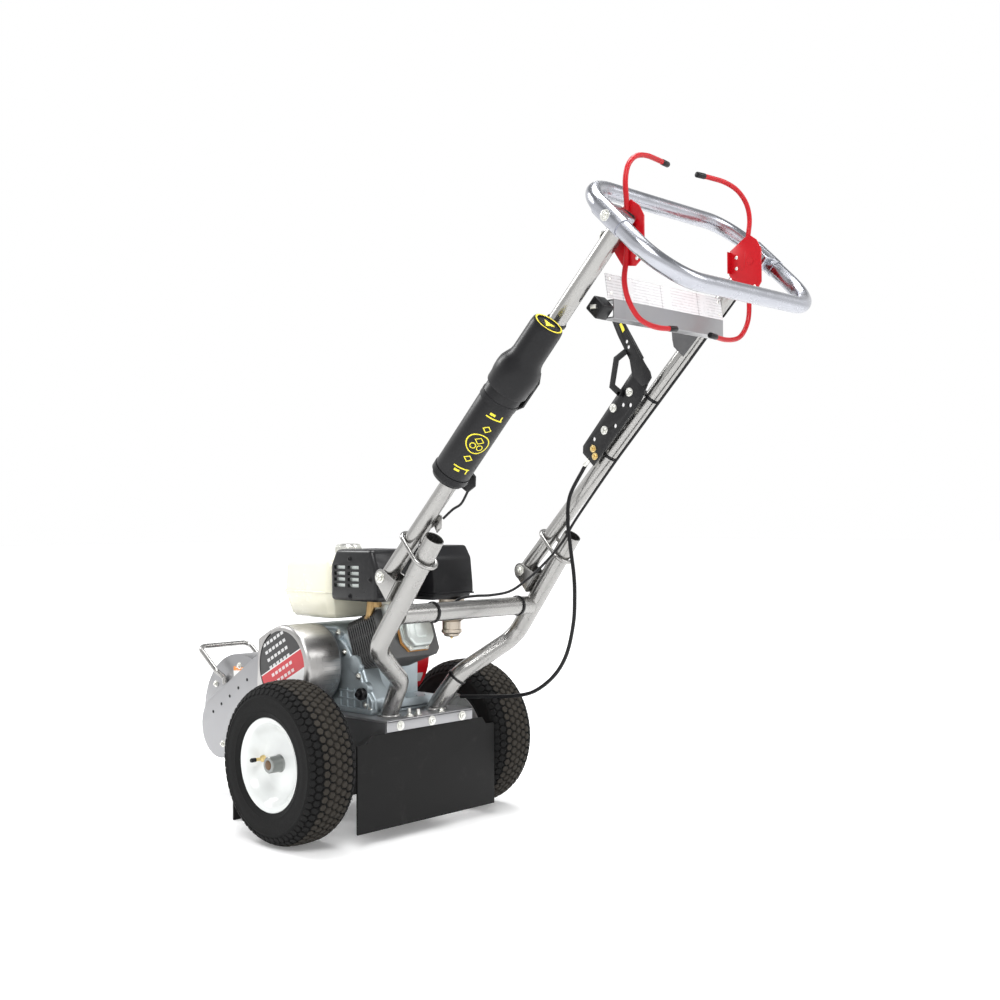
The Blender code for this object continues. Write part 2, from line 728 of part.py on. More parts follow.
def build_presence_levers(look):
    pivot = Vector((LEVER_PIVOT_X, 0, LEVER_PIVOT_Z))
    plate = (
        (-0.022, -0.056),
        (0.004, -0.060),
        (0.022, -0.040),
        (0.022, 0.020),
        (-0.004, 0.050),
        (-0.044, 0.024),
        (-0.046, -0.020),
    )
    outline = [(pivot.x + u, pivot.z + v) for u, v in plate]
    rod = (
        (-0.026, 0.044, 0.139),
        (-0.016, 0.110, 0.136),
        (-0.008, 0.158, 0.120),
        (-0.008, 0.177, 0.085),
        (-0.012, LEVER_Y - 0.0045, 0.045),
        (-0.010, LEVER_Y - 0.0045, -0.045),
        (-0.012, 0.174, -0.090),
        (-0.008, 0.160, -0.128),
        (-0.006, 0.110, -0.146),
        (-0.006, 0.051, -0.148),
    )
    for side, sign in SIDES:
        faces = sorted((sign * (LEVER_Y - 0.002), sign * (LEVER_Y + 0.001)))
        origin = pivot + ACROSS * sign * LEVER_Y
        obj = add_object(f"presence_lever_{side}", prism(outline, *faces), look["red"], origin)
        route = [pivot + Vector((x, sign * y, z)) for x, y, z in rod]
        combine(obj, "UNION", swept(smooth_route(route, 0.02), ROD_RADIUS, steps=8))


def build_brake(look):
    low, high = BRAKE_Y - BRAKE_THICK / 2, BRAKE_Y + BRAKE_THICK / 2
    bracket = (
        (0.305, -0.002),
        (0.475, -0.002),
        (0.522, 0.016),
        (0.532, 0.036),
        (0.518, 0.054),
        (0.316, 0.046),
        (0.305, 0.036),
    )
    add_object("brake_bracket", prism(bracket, low, high, lay_on_handle), look["plate"])
    spread = 0.0005
    lever = (
        (-0.016, -0.034),
        (0.010, -0.030),
        (0.016, 0.000),
        (0.030, 0.060),
        (0.052, 0.122),
        (0.034, 0.130),
        (0.004, 0.066),
        (-0.018, 0.010),
    )
    outline = [(BRAKE_PIVOT[0] + u, BRAKE_PIVOT[1] + v) for u, v in lever]
    arm = prism(outline, low - spread - BRAKE_THICK, low - spread, lay_on_handle)
    origin = on_handle(*BRAKE_PIVOT, low - spread - BRAKE_THICK / 2)
    add_object("brake_lever", arm, look["plate"], origin)


def build_controls(look):
    middle = on_handle(SWITCH_AT, SWITCH_RAISED, SWITCH_Y)
    half = Vector((0.014, 0.015, 0.015))
    add_object("switch_box", box(middle - half, middle + half), look["black"])
    y = HANDLE_Y + HANDLE_RADIUS + 0.0025
    tip = THROTTLE_AT + 0.044
    lever = [(tip - 0.004, -0.016), (tip, 0.004), *arc((THROTTLE_AT, -0.002), 0.011, 80, 280, 8)]
    arm = prism(lever, y, y + 0.004, lay_on_handle)
    knob = rod_between(on_handle(tip, -0.006, y + 0.001), on_handle(tip, -0.006, y + 0.019), 0.008)
    obj = add_object("throttle_lever", arm, look["black"], on_handle(THROTTLE_AT, -0.002, y))
    combine(obj, "UNION", knob)


def build_engine(look):
    case = (
        (-0.205, DECK_TOP + GAP),
        (CASE_REAR, DECK_TOP + GAP),
        (CASE_REAR, 0.280),
        (0.040, 0.315),
        (0.030, 0.335),
        (-0.035, 0.425),
        (-0.170, 0.425),
        (-0.205, 0.390),
    )
    add_object("crankcase", prism(case, -CASE_HALF, CASE_HALF), look["cast"])
    way = Vector((math.cos(CYLINDER_ANGLE), 0, math.sin(CYLINDER_ANGLE)))
    over = Vector((-way.z, 0, way.x))

    def lay(u, v, w):
        return CRANK + way * w + ACROSS * u + over * v

    fins = ((-0.078, -0.050), (0.072, -0.050), (0.072, 0.058), (-0.078, 0.058))
    add_object("cylinder", prism(fins, CYLINDER_FROM, CYLINDER_TO, lay), look["cast"])
    cover = (
        (-0.018, -0.040),
        (0.032, -0.040),
        (0.048, -0.018),
        (0.048, 0.018),
        (0.032, 0.040),
        (-0.018, 0.040),
        (-0.034, 0.018),
        (-0.034, -0.018),
    )
    add_object("valve_cover", prism(cover, CYLINDER_TO + GAP, CYLINDER_TO + 0.030, lay), look["cast"])
    tank = (
        (-0.205, 0.480),
        (-0.195, TANK_LOW),
        (-0.060, TANK_LOW),
        (-0.036, 0.480),
        (-0.040, 0.552),
        (-0.062, TANK_HIGH),
        (-0.180, TANK_HIGH),
        (-0.203, 0.556),
    )
    add_object("fuel_tank", prism(tank, -0.121, 0.105), look["cream"])
    cap = ((0, 0), (0.026, 0), (0.030, 0.006), (0.030, 0.026), (0.024, 0.032), (0, 0.032))
    centre = (-0.130, 0.010, TANK_HIGH + GAP)
    add_object("fuel_cap", turned(cap, centre, (0, 0, 1), (1, 0, 0), WHEEL_STEPS), look["zinc"], centre)
    guard = ((-0.028, 0.484), (0.122, 0.484), (0.122, 0.545), (0.104, 0.592), (-0.010, 0.592), (-0.028, 0.560))
    add_object("muffler_guard", prism(guard, -0.125, -0.012), look["plate"])
    exhaust = rod_between((0.060, -0.070, 0.470), (0.060, -0.070, 0.484 - GAP), 0.012)
    add_object("exhaust_pipe", exhaust, look["pipe"])
    cleaner = (
        (0.050, 0.4835),
        (0.148, 0.4835),
        (0.158, 0.500),
        (0.150, 0.572),
        (0.134, 0.598),
        (0.072, 0.598),
        (0.050, 0.580),
    )
    add_object("air_cleaner", prism(cleaner, 0.006, 0.122), look["black"])
    bowl = ((0, 0.402), (0.018, 0.402), (0.022, 0.412), (0.022, 0.436), (0.028, 0.440), (0.028, 0.4825), (0, 0.4825))
    add_object("carburettor", turned(bowl, (0.128, 0.082, 0), (0, 0, 1), (1, 0, 0), TUBE_STEPS), look["bronze"])
    fan = (
        (0, 0),
        (FAN_RADIUS, 0),
        (FAN_RADIUS, 0.040),
        (FAN_RADIUS - 0.020, 0.062),
        (0.040, 0.068),
        (0, 0.068),
    )
    centre = (CRANK_X, CASE_HALF + GAP, CRANK_Z)
    add_object("fan_cover", turned(fan, centre, (0, 1, 0), (0, 0, 1), WHEEL_STEPS), look["red"])
    grip = (CRANK_X + 0.048, CASE_HALF + 0.062, CRANK_Z + 0.108)
    bar = rod_between((grip[0] - 0.036, grip[1], grip[2]), (grip[0] + 0.036, grip[1], grip[2]), 0.009)
    add_object("starter_grip", bar, look["black"], grip)
    oil = rod_between((0.048, -CASE_HALF - GAP, 0.290), (0.048, -CASE_HALF - 0.022, 0.290), 0.013)
    add_object("oil_cap", oil, look["plate"])


def build_drive(look):
    way = (0, -1, 0)
    up = (0, 0, 1)
    shaft_end = -GUARD_FACE - GUARD_WALL - 0.004
    shaft = rod_between((CRANK_X, -CASE_HALF - GAP, CRANK_Z), (CRANK_X, -shaft_end, CRANK_Z), CRANK_RADIUS)
    add_object("crankshaft", shaft, look["steel"], (CRANK_X, -CASE_HALF - GAP, CRANK_Z))
    bore = CRANK_RADIUS / math.cos(math.pi / WHEEL_STEPS) + RUN
    belt = -BELT_Y
    lip = BELT_WIDTH / 2 + 0.0008
    clutch = (
        (bore, belt - lip - 0.002),
        (DRIVE_PULLEY + BELT_THICK, belt - lip - 0.002),
        (DRIVE_PULLEY + BELT_THICK, belt - lip),
        (DRIVE_PULLEY, belt - lip),
        (DRIVE_PULLEY, belt + lip),
        (0.056, belt + lip),
        (0.056, shaft_end - 0.004),
        (bore, shaft_end - 0.004),
    )
    drum = turned(clutch, CRANK, way, up, WHEEL_STEPS, True)
    add_object("clutch_drum", drum, look["steel"], CRANK + Vector((0, BELT_Y, 0)))
    clear = 0.0008
    drive, driven = DRIVE_PULLEY + clear, DRIVEN_PULLEY + clear
    a, b = (CRANK_X, CRANK_Z), (CUTTER_X, CUTTER_Z)
    inner = two_circle_outline(a, drive, b, driven, 10)
    outer = two_circle_outline(a, drive + BELT_THICK, b, driven + BELT_THICK, 10)
    half = BELT_WIDTH / 2
    strip = band(outer, inner, BELT_Y - half, BELT_Y + half, lambda u, v, w: (u, w, v))
    add_object("drive_belt", strip, look["rubber"])
    bore = SHAFT_RADIUS / math.cos(math.pi / WHEEL_STEPS) + RUN
    pulley = (
        (bore, belt - lip - 0.002),
        (DRIVEN_PULLEY + BELT_THICK, belt - lip - 0.002),
        (DRIVEN_PULLEY + BELT_THICK, belt - lip),
        (DRIVEN_PULLEY, belt - lip),
        (DRIVEN_PULLEY, belt + lip),
        (DRIVEN_PULLEY + BELT_THICK, belt + lip),
        (DRIVEN_PULLEY + BELT_THICK, belt + lip + 0.002),
        (bore, belt + lip + 0.002),
    )
    wheel = turned(pulley, CUTTER, way, up, WHEEL_STEPS, True)
    add_object("driven_pulley", wheel, look["steel"], CUTTER + Vector((0, BELT_Y, 0)))
    hood_near, hood_far = CUTTER_Y - HOOD_HALF, CUTTER_Y + HOOD_HALF
    ends = [CUTTER + Vector((0, y, 0)) for y in (BELT_Y - lip - 0.006, hood_far + 0.022)]
    add_object("cutter_shaft", rod_between(*ends, SHAFT_RADIUS), look["steel"], CUTTER + Vector((0, CUTTER_Y, 0)))
    teeth = []
    for tooth in range(TEETH):
        turn = 360 * tooth / TEETH
        pitch = 360 / TEETH
        teeth += [
            polar(CUTTER_RADIUS, turn),
            polar(CUTTER_RADIUS, turn + pitch * 0.30),
            polar(CUTTER_RADIUS - 0.016, turn + pitch * 0.38),
            polar(CUTTER_RADIUS - 0.020, turn + pitch * 0.85),
        ]
    outline = [(CUTTER_X + u, CUTTER_Z + v) for u, v in teeth]
    low, high = CUTTER_Y - CUTTER_THICK / 2, CUTTER_Y + CUTTER_THICK / 2
    disc = add_object("cutter_wheel", prism(outline, low, high), look["steel"], CUTTER + Vector((0, CUTTER_Y, 0)))
    combine(disc, "DIFFERENCE", round_hole(CUTTER_X, CUTTER_Z, low - 0.01, high + 0.01, SHAFT_RADIUS + RUN))
    housing = ((bore, 0), (0.034, 0), (0.034, 0.007), (0.022, 0.014), (0.022, 0.017), (bore, 0.017))
    near = turned(housing, CUTTER + Vector((0, hood_near - GAP, 0)), way, up, WHEEL_STEPS, True)
    add_object("cutter_bearing_left", near, look["zinc"])
    far = turned(housing, CUTTER + Vector((0, hood_far + GAP, 0)), (0, 1, 0), up, WHEEL_STEPS, True)
    add_object("cutter_bearing_right", far, look["zinc"])


def polar(radius, degrees):
    turn = math.radians(degrees)
    return radius * math.cos(turn), radius * math.sin(turn)


def build_guards(look):
    a, b = (CRANK_X, CRANK_Z), (CUTTER_X, CUTTER_Z)
    run = (CUTTER - CRANK).normalized()
    tangent = math.degrees(math.atan2(run.z, run.x)) % 360 - 90

    def flat(shrink):
        return two_circle_outline(a, GUARD_RADIUS - shrink, b, GUARD_END_RADIUS - shrink, 12)

    def deep(shrink):
        drum = arc(a, GUARD_RADIUS - shrink, tangent, GUARD_CHORD_END, 20)
        reach = (GUARD_CORNER_X + shrink - drum[0][0]) / run.x
        return [*drum, (drum[0][0] + run.x * reach, drum[0][1] + run.z * reach)]

    back = GUARD_BACK
    obj = add_object("belt_guard", prism(flat(0), GUARD_STEP, back), look["deck"])
    combine(obj, "UNION", prism(deep(0), GUARD_FACE, back - 0.001))
    combine(obj, "DIFFERENCE", prism(flat(GUARD_WALL), GUARD_STEP + GUARD_WALL, back + 0.01))
    combine(obj, "DIFFERENCE", prism(deep(GUARD_WALL), GUARD_FACE + GUARD_WALL, back + 0.02))

    def hood_outline(radius, low):
        dome = arc((CUTTER_X, CUTTER_Z), radius, 0, 180, 16)
        return [(CUTTER_X + radius, CUTTER_Z - low), *dome, (CUTTER_X - radius, CUTTER_Z - low)]

    near, far = CUTTER_Y - HOOD_HALF, CUTTER_Y + HOOD_HALF
    hood = add_object("cutter_guard", prism(hood_outline(HOOD_RADIUS, 0.040), near, far), look["deck"])
    hollow = prism(hood_outline(HOOD_RADIUS - HOOD_WALL, 0.060), near + HOOD_WALL, far - HOOD_WALL)
    combine(hood, "DIFFERENCE", hollow)
    combine(hood, "DIFFERENCE", round_hole(CUTTER_X, CUTTER_Z, near - 0.02, far + 0.02, SHAFT_RADIUS + 0.001))
    leg = LIFT_RADIUS + 0.0004
    wide = 0.022
    bar = bent(
        (
            (-0.444, near - leg, 0.268),
            (-0.448, near - leg, 0.284),
            (-0.456, near - wide, 0.300),
            (LIFT_X, near - wide, LIFT_Z),
            (LIFT_X, far + wide + 0.018, LIFT_Z),
            (-0.456, far + wide + 0.018, 0.300),
            (-0.448, far + leg, 0.284),
            (-0.444, far + leg, 0.268),
        ),
        (0, 0.008, 0.010, 0.018, 0.018, 0.010, 0.008, 0),
        4,
    )
    add_object("lift_handle", swept(bar, LIFT_RADIUS, steps=8), look["paint"])


def build_cables(look):
    brake = (
        on_handle(0.3045, 0.016, BRAKE_Y),
        on_handle(0.280, 0.013, BRAKE_Y - 0.001),
        (0.402, 0.155, 0.700),
        (0.400, 0.150, 0.650),
        (0.406, 0.150, 0.598),
        (0.415, 0.150, 0.540),
        (0.417, 0.150, 0.494),
        (0.413, 0.150, 0.440),
        (0.394, 0.150, 0.376),
        (0.359, 0.150, 0.329),
        (0.306, 0.148, 0.293),
        (0.251, 0.144, 0.279),
        (0.190, 0.136, 0.273),
        (0.150, 0.126, 0.270),
        (0.118, 0.118, 0.268),
    )
    add_cable("brake_cable", brake, CABLE_RADIUS, look["rubber"])
    bend = Vector((UPRIGHT_ELBOW_X, 0, UPRIGHT_ELBOW_Z))
    run = Vector((UPRIGHT_TOP_X - UPRIGHT_ELBOW_X, 0, UPRIGHT_TOP_Z - UPRIGHT_ELBOW_Z)).normalized()
    tube = bend + run * ((CROSS_TUBE_Z - UPRIGHT_ELBOW_Z) / run.z)
    clear = UPRIGHT_RADIUS + 0.0065
    throttle = (
        on_handle(0.690, -0.024, HANDLE_Y - 0.010),
        on_handle(0.560, -0.025, HANDLE_Y - 0.010),
        on_handle(0.420, -0.025, HANDLE_Y - 0.010),
        on_handle(0.320, -0.027, HANDLE_Y - 0.012),
        (0.405, 0.170, 0.652),
        (0.375, 0.163, 0.606),
        (0.335, 0.150, 0.560),
        (0.300, 0.130, 0.524),
        (tube.x + 0.022, 0.100, tube.z + clear + 0.0075),
        (tube.x + 0.0075, 0.060, tube.z + clear),
        (tube.x + 0.0015, 0.020, tube.z + clear),
        (tube.x - 0.011, -0.012, tube.z + clear - 0.005),
        (tube.x - clear - 0.008, -0.020, tube.z + 0.004),
        (0.205, -0.004, 0.464),
        (0.196, 0.020, 0.462),
    )
    add_cable("throttle_cable", throttle, WIRE_RADIUS, look["rubber"])


def build_machine():
    clear_scene()
    frame = bpy.data.objects.new("machine", None)
    bpy.context.scene.collection.objects.link(frame)
    look = finishes()
    for build in (
        build_wheels,
        build_deck,
        build_frame,
        build_handle,
        build_bar,
        build_canister,
        build_lock_rings,
        build_presence_levers,
        build_brake,
        build_controls,
        build_engine,
        build_drive,
        build_guards,
        build_cables,
    ):
        build(look)
    frame.location.x = -(FRONT_END + REAR_END) / 2


build_machine()
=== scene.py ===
import json
import math

import bpy
from bpy.props import FloatProperty, FloatVectorProperty, IntProperty, PointerProperty
from mathutils import Matrix, Vector


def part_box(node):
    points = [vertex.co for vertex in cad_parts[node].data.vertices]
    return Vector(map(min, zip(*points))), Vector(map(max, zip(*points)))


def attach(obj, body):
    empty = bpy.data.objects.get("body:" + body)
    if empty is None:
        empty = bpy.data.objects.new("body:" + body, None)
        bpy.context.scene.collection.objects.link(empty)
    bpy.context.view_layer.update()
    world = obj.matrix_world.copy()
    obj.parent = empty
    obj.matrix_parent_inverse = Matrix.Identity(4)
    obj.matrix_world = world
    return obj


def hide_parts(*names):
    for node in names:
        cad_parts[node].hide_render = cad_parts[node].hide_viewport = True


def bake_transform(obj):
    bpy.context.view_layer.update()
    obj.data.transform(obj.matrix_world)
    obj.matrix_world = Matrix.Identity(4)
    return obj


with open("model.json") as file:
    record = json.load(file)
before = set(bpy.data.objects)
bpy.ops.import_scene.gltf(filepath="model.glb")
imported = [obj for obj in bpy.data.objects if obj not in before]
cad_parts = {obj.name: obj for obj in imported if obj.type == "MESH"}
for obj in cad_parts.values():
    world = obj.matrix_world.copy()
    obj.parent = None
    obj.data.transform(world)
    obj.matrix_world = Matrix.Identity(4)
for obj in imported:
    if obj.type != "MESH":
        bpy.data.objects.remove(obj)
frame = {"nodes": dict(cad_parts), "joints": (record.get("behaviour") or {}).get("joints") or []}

bl_info = {
    "name": "Stump grinder",
    "version": (1, 0, 0),
    "blender": (4, 5, 0),
    "location": "3D View > Sidebar > Stump grinder",
    "description": "Finished pieces of a walk-behind stump grinder, built round its frame",
    "category": "Object",
}

JOINTS = {joint["name"]: joint for joint in frame["joints"]}
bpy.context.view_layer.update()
AXLE = Vector(JOINTS["wheel_left_spin"]["pos_m"])
WHEEL_OUT = abs(AXLE.y)
PIVOT = Vector(JOINTS["handle_fold"]["pos_m"])
ALONG = Vector(JOINTS["document_cap_slide"]["axis"]).normalized()
ACROSS = Vector((0, 1, 0))
UP = Vector((0, 0, 1))
AHEAD = Vector((1, 0, 0))
RAISED = ALONG.cross(ACROSS)
CRANK = Vector(JOINTS["clutch_spin"]["pos_m"])
CUTTER = Vector(JOINTS["cutter_spin"]["pos_m"])
DECK_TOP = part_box("deck")[1].z
HANDLE_Y = 0.197
HANDLE_RADIUS = 0.016
UPRIGHT_RADIUS = 0.019
HANDLE_LENGTH = 0.827
SIDES = (("left", -1), ("right", 1))


def at(x, y, z):
    """A place with x measured from above the axle."""
    return Vector((AXLE.x + x, y, z))


def on_handle(along, raised, y):
    return PIVOT + ALONG * along + RAISED * raised + ACROSS * y


def flat_xz(u, v, w):
    return at(u, w, v)


def flat_xy(u, v, w):
    return at(u, v, w)


def flat_yz(u, v, w):
    return at(w, u, v)


# ---------------------------------------------------------------- modelling


def only(*pieces):
    bpy.ops.object.select_all(action="DESELECT")
    for piece in pieces:
        piece.select_set(True)
    bpy.context.view_layer.objects.active = pieces[0]


def fresh():
    """Deselect all, so that the next primitive is the only selected thing."""
    bpy.ops.object.select_all(action="DESELECT")


def edit(piece, *steps):
    """Run edit-mode steps with the whole piece selected."""
    only(piece)
    bpy.ops.object.mode_set(mode="EDIT")
    bpy.ops.mesh.select_all(action="SELECT")
    for step in steps:
        step()
    bpy.ops.object.mode_set(mode="OBJECT")
    return piece


def outwards():
    bpy.ops.mesh.normals_make_consistent(inside=False)


def merge():
    bpy.ops.mesh.remove_doubles(threshold=1e-6)


def apply_modifier(piece, kind, **settings):
    only(piece)
    step = piece.modifiers.new(kind.lower(), kind)
    for key, value in settings.items():
        setattr(step, key, value)
    bpy.ops.object.modifier_apply(modifier=step.name)
    return piece


def soften(piece, width, segments=2, angle=35):
    return apply_modifier(
        piece,
        "BEVEL",
        width=width,
        segments=segments,
        limit_method="ANGLE",
        angle_limit=math.radians(angle),
        use_clamp_overlap=True,
    )


def join(pieces):
    only(*pieces)
    if len(pieces) > 1:
        bpy.ops.object.join()
    bpy.ops.object.transform_apply(location=True, rotation=True, scale=True)
    return bpy.context.object


def oblong(left, low, right, high):
    """The four corners of an upright rectangle."""
    return (left, low), (right, low), (right, high), (left, high)


def slab(outline, lay, low, high, edge=0.0, segments=2):
    """An outline in (u, v), thick from low to high, put in place by lay(u, v, w)."""
    fresh()
    bpy.ops.mesh.primitive_circle_add(vertices=len(outline), fill_type="NGON")
    piece = bpy.context.object
    for vert, (u, v) in zip(piece.data.vertices, outline):
        vert.co = lay(u, v, low)
    way = lay(0, 0, high) - lay(0, 0, low)
    edit(
        piece,
        lambda: bpy.ops.mesh.extrude_region_move(TRANSFORM_OT_translate={"value": way}),
        lambda: bpy.ops.mesh.select_all(action="SELECT"),
        outwards,
    )
    return soften(piece, edge, segments) if edge else piece


def loft(outline, lay, levels):
    """An outline in (u, v) carried through (w, share) levels, drawn in or let out by each share."""
    fresh()
    count = len(outline)
    middle = [sum(point[i] for point in outline) / count for i in range(2)]
    bpy.ops.mesh.primitive_grid_add(x_subdivisions=count, y_subdivisions=len(levels) - 1)
    piece = bpy.context.object
    for vert in piece.data.vertices:
        w, share = levels[vert.index // (count + 1)]
        u, v = outline[vert.index % (count + 1) % count]
        vert.co = lay(middle[0] + (u - middle[0]) * share, middle[1] + (v - middle[1]) * share, w)
    return edit(
        piece,
        merge,
        lambda: bpy.ops.mesh.select_all(action="DESELECT"),
        lambda: bpy.ops.mesh.select_mode(type="EDGE"),
        lambda: bpy.ops.mesh.select_non_manifold(),
        lambda: bpy.ops.mesh.edge_face_add(),
        lambda: bpy.ops.mesh.select_mode(type="VERT"),
        lambda: bpy.ops.mesh.select_all(action="SELECT"),
        outwards,
    )


def block(low, high, edge=0.0, segments=2):
    fresh()
    low, high = Vector(low), Vector(high)
    bpy.ops.mesh.primitive_cube_add(size=1, location=(low + high) / 2)
    piece = bpy.context.object
    piece.scale = high - low
    join([piece])
    return soften(piece, edge, segments) if edge else piece


def square_to(axis):
    axis = Vector(axis)
    return (UP if abs(axis.normalized().z) < 0.9 else AHEAD).cross(axis).normalized()


def lathe(profile, centre, axis, steps=72, ring=False):
    """A profile of (radius, height) spun about an axis. A ring's last point meets its first."""
    fresh()
    bpy.ops.mesh.primitive_circle_add(vertices=len(profile), fill_type="NOTHING")
    piece = bpy.context.object
    centre, axis = Vector(centre), Vector(axis).normalized()
    side = square_to(axis)
    for vert, (radius, height) in zip(piece.data.vertices, profile):
        vert.co = centre + axis * height + side * radius
    if not ring:
        last = len(profile) - 1
        for line in piece.data.edges:
            line.select = set(line.vertices) == {0, last}
        for vert in piece.data.vertices:
            vert.select = False
        only(piece)
        bpy.ops.object.mode_set(mode="EDIT")
        bpy.ops.mesh.select_mode(type="EDGE")
        bpy.ops.object.mode_set(mode="OBJECT")
        for line in piece.data.edges:
            line.select = set(line.vertices) == {0, last}
        bpy.ops.object.mode_set(mode="EDIT")
        bpy.ops.mesh.delete(type="EDGE_FACE")
        bpy.ops.mesh.select_mode(type="VERT")
        bpy.ops.object.mode_set(mode="OBJECT")
    return edit(
        piece,
        lambda: bpy.ops.mesh.spin(steps=steps, angle=math.tau, center=centre, axis=axis),
        lambda: bpy.ops.mesh.select_all(action="SELECT"),
        merge,
        lambda: bpy.ops.mesh.delete_loose(),
        lambda: bpy.ops.mesh.select_all(action="SELECT"),
        outwards,
    )


def stand(place, axis, turn=0.0):
    """The place and turn of a copy whose own Z points along an axis."""
    pose = Vector(axis).to_track_quat("Z", "Y").to_matrix().to_4x4()
    return Matrix.Translation(place) @ pose @ Matrix.Rotation(turn, 4, "Z")


def rod(start, end, radius, edge=0.0, sides=28):
    fresh()
    start, end = Vector(start), Vector(end)
    bpy.ops.mesh.primitive_cylinder_add(vertices=sides, radius=radius, depth=(end - start).length)
    piece = bpy.context.object
    piece.matrix_world = stand((start + end) / 2, end - start)
    join([piece])
    return soften(piece, edge) if edge else piece


def spread(pattern, places):
    """Copies of a pattern modelled round the origin, one at each place, made one piece."""
    copies = []
    for place in places:
        twin = pattern.copy()
        twin.data = pattern.data.copy()
        twin.matrix_world = place
        bpy.context.scene.collection.objects.link(twin)
        copies.append(twin)
    bpy.data.objects.remove(pattern)
    return join(copies)


def hex_bolts(spots, radius=0.0075, height=0.005, washer=True):
    """Hexagon heads on washers, one at each (place, axis)."""
    head = soften(rod((0, 0, 0.001), (0, 0, height), radius, sides=6), radius * 0.09, 1, 40)
    parts = [head, rod((0, 0, height - 0.0005), (0, 0, height + 0.0025), radius * 0.5, 0.0004, 16)]
    if washer:
        parts.append(rod((0, 0, -0.001), (0, 0, 0.0012), radius * 1.35, 0.0003, 24))
    return spread(join(parts), [stand(place, axis, 0.3 * i) for i, (place, axis) in enumerate(spots)])


def cut(piece, *cutters):
    cutter = join(list(cutters))
    apply_modifier(piece, "BOOLEAN", operation="DIFFERENCE", solver="EXACT", object=cutter)
    bpy.data.objects.remove(cutter)
    return piece


def rounded(points, radii, steps=8):
    """A run of straight lines with its corners rounded off, as a bent tube lies."""
    count = len(points)
    path = []
    for i, corner in enumerate(points):
        if radii[i] == 0:
            path.append(corner)
            continue
        before, after = points[i - 1] - corner, points[(i + 1) % count] - corner
        back, ahead = before.normalized(), after.normalized()
        half = back.angle(ahead) / 2
        reach = min(radii[i] / math.tan(half), min(before.length, after.length) * 0.49)
        middle = corner + (back + ahead).normalized() * (reach / math.cos(half))
        first, last = corner + back * reach - middle, corner + ahead * reach - middle
        turn = first.angle(last)
        for step in range(steps + 1):
            gone = turn * step / steps
            path.append(middle + (first * math.sin(turn - gone) + last * math.sin(gone)) / math.sin(turn))
    return path


def smooth_route(points, spacing):
    """Even points on a smooth curve through the route's own points."""
    points = [Vector(point) for point in points]
    ends = [points[0] * 2 - points[1], *points, points[-1] * 2 - points[-2]]
    dense = []
    for a, b, c, d in zip(ends, ends[1:], ends[2:], ends[3:]):
        for step in range(24):
            t = step / 24
            bend = (2 * a - 5 * b + 4 * c - d) * t**2 + (3 * b - a - 3 * c + d) * t**3
            dense.append(0.5 * (2 * b + (c - a) * t + bend))
    dense.append(points[-1])
    every = max(1, round(spacing / ((dense[-1] - dense[0]).length / len(dense) + 1e-9) / 2))
    return dense[::every] + ([dense[-1]] if (len(dense) - 1) % every else [])


def pipe(path, radius, sides=20, closed=False, wall=0.0, open_ends=()):
    """A round bar or tube along a path. Each open end is bored out to the wall."""
    fresh()
    bpy.ops.curve.primitive_bezier_curve_add()
    curve = bpy.context.object.data
    curve.splines.clear()
    curve.dimensions = "3D"
    spline = curve.splines.new("POLY")
    spline.points.add(len(path) - 1)
    for point, place in zip(spline.points, path):
        point.co = (*place, 1)
    spline.use_cyclic_u = closed
    curve.bevel_depth = radius
    curve.bevel_resolution = sides // 4
    curve.use_fill_caps = not closed
    bpy.ops.object.convert(target="MESH")
    piece = edit(bpy.context.object, merge, outwards)
    for end in open_ends:
        tip = Vector(path[end])
        way = (Vector(path[end]) - Vector(path[end + 1 if end == 0 else end - 1])).normalized()
        only(piece)
        bpy.ops.object.mode_set(mode="EDIT")
        bpy.ops.mesh.select_mode(type="FACE")
        bpy.ops.mesh.select_all(action="DESELECT")
        bpy.ops.object.mode_set(mode="OBJECT")
        for face in piece.data.polygons:
            face.select = (face.center - tip).length < radius * 0.95 and abs(face.normal.dot(way)) > 0.9
        bpy.ops.object.mode_set(mode="EDIT")
        bpy.ops.mesh.inset(thickness=wall)
        bpy.ops.mesh.extrude_region_move(TRANSFORM_OT_translate={"value": -way * radius * 4})
        bpy.ops.mesh.select_mode(type="VERT")
        bpy.ops.object.mode_set(mode="OBJECT")
    return piece


def arc(centre, radius, start, end, steps):
    points = []
    for step in range(steps + 1):
        turn = math.radians(start + (end - start) * step / steps)
        points.append((centre[0] + radius * math.cos(turn), centre[1] + radius * math.sin(turn)))
    return points


def two_circle_outline(a, radius_a, b, radius_b, steps):
    """The outline of a belt round two circles."""
    way = math.degrees(math.atan2(b[1] - a[1], b[0] - a[0]))
    lean = math.degrees(math.acos((radius_a - radius_b) / math.dist(a, b)))
    first = arc(a, radius_a, way + lean, way + 360 - lean, steps)
    return first + arc(b, radius_b, way - lean, way + lean, steps)


def done(piece, name, body, finish, slot, *nodes, angle=32):
    """Name, shade and colour a finished piece, and tie it to its body."""
    join([piece])
    piece.name = piece.data.name = name
    bpy.ops.object.shade_smooth_by_angle(angle=math.radians(angle))
    piece.data.materials.clear()
    piece.data.materials.append(LOOKS[finish])
    if body:
        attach(piece, body)
    if nodes:
        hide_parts(*nodes)
    return piece


# ---------------------------------------------------------------- finishes


LOOKS = {}


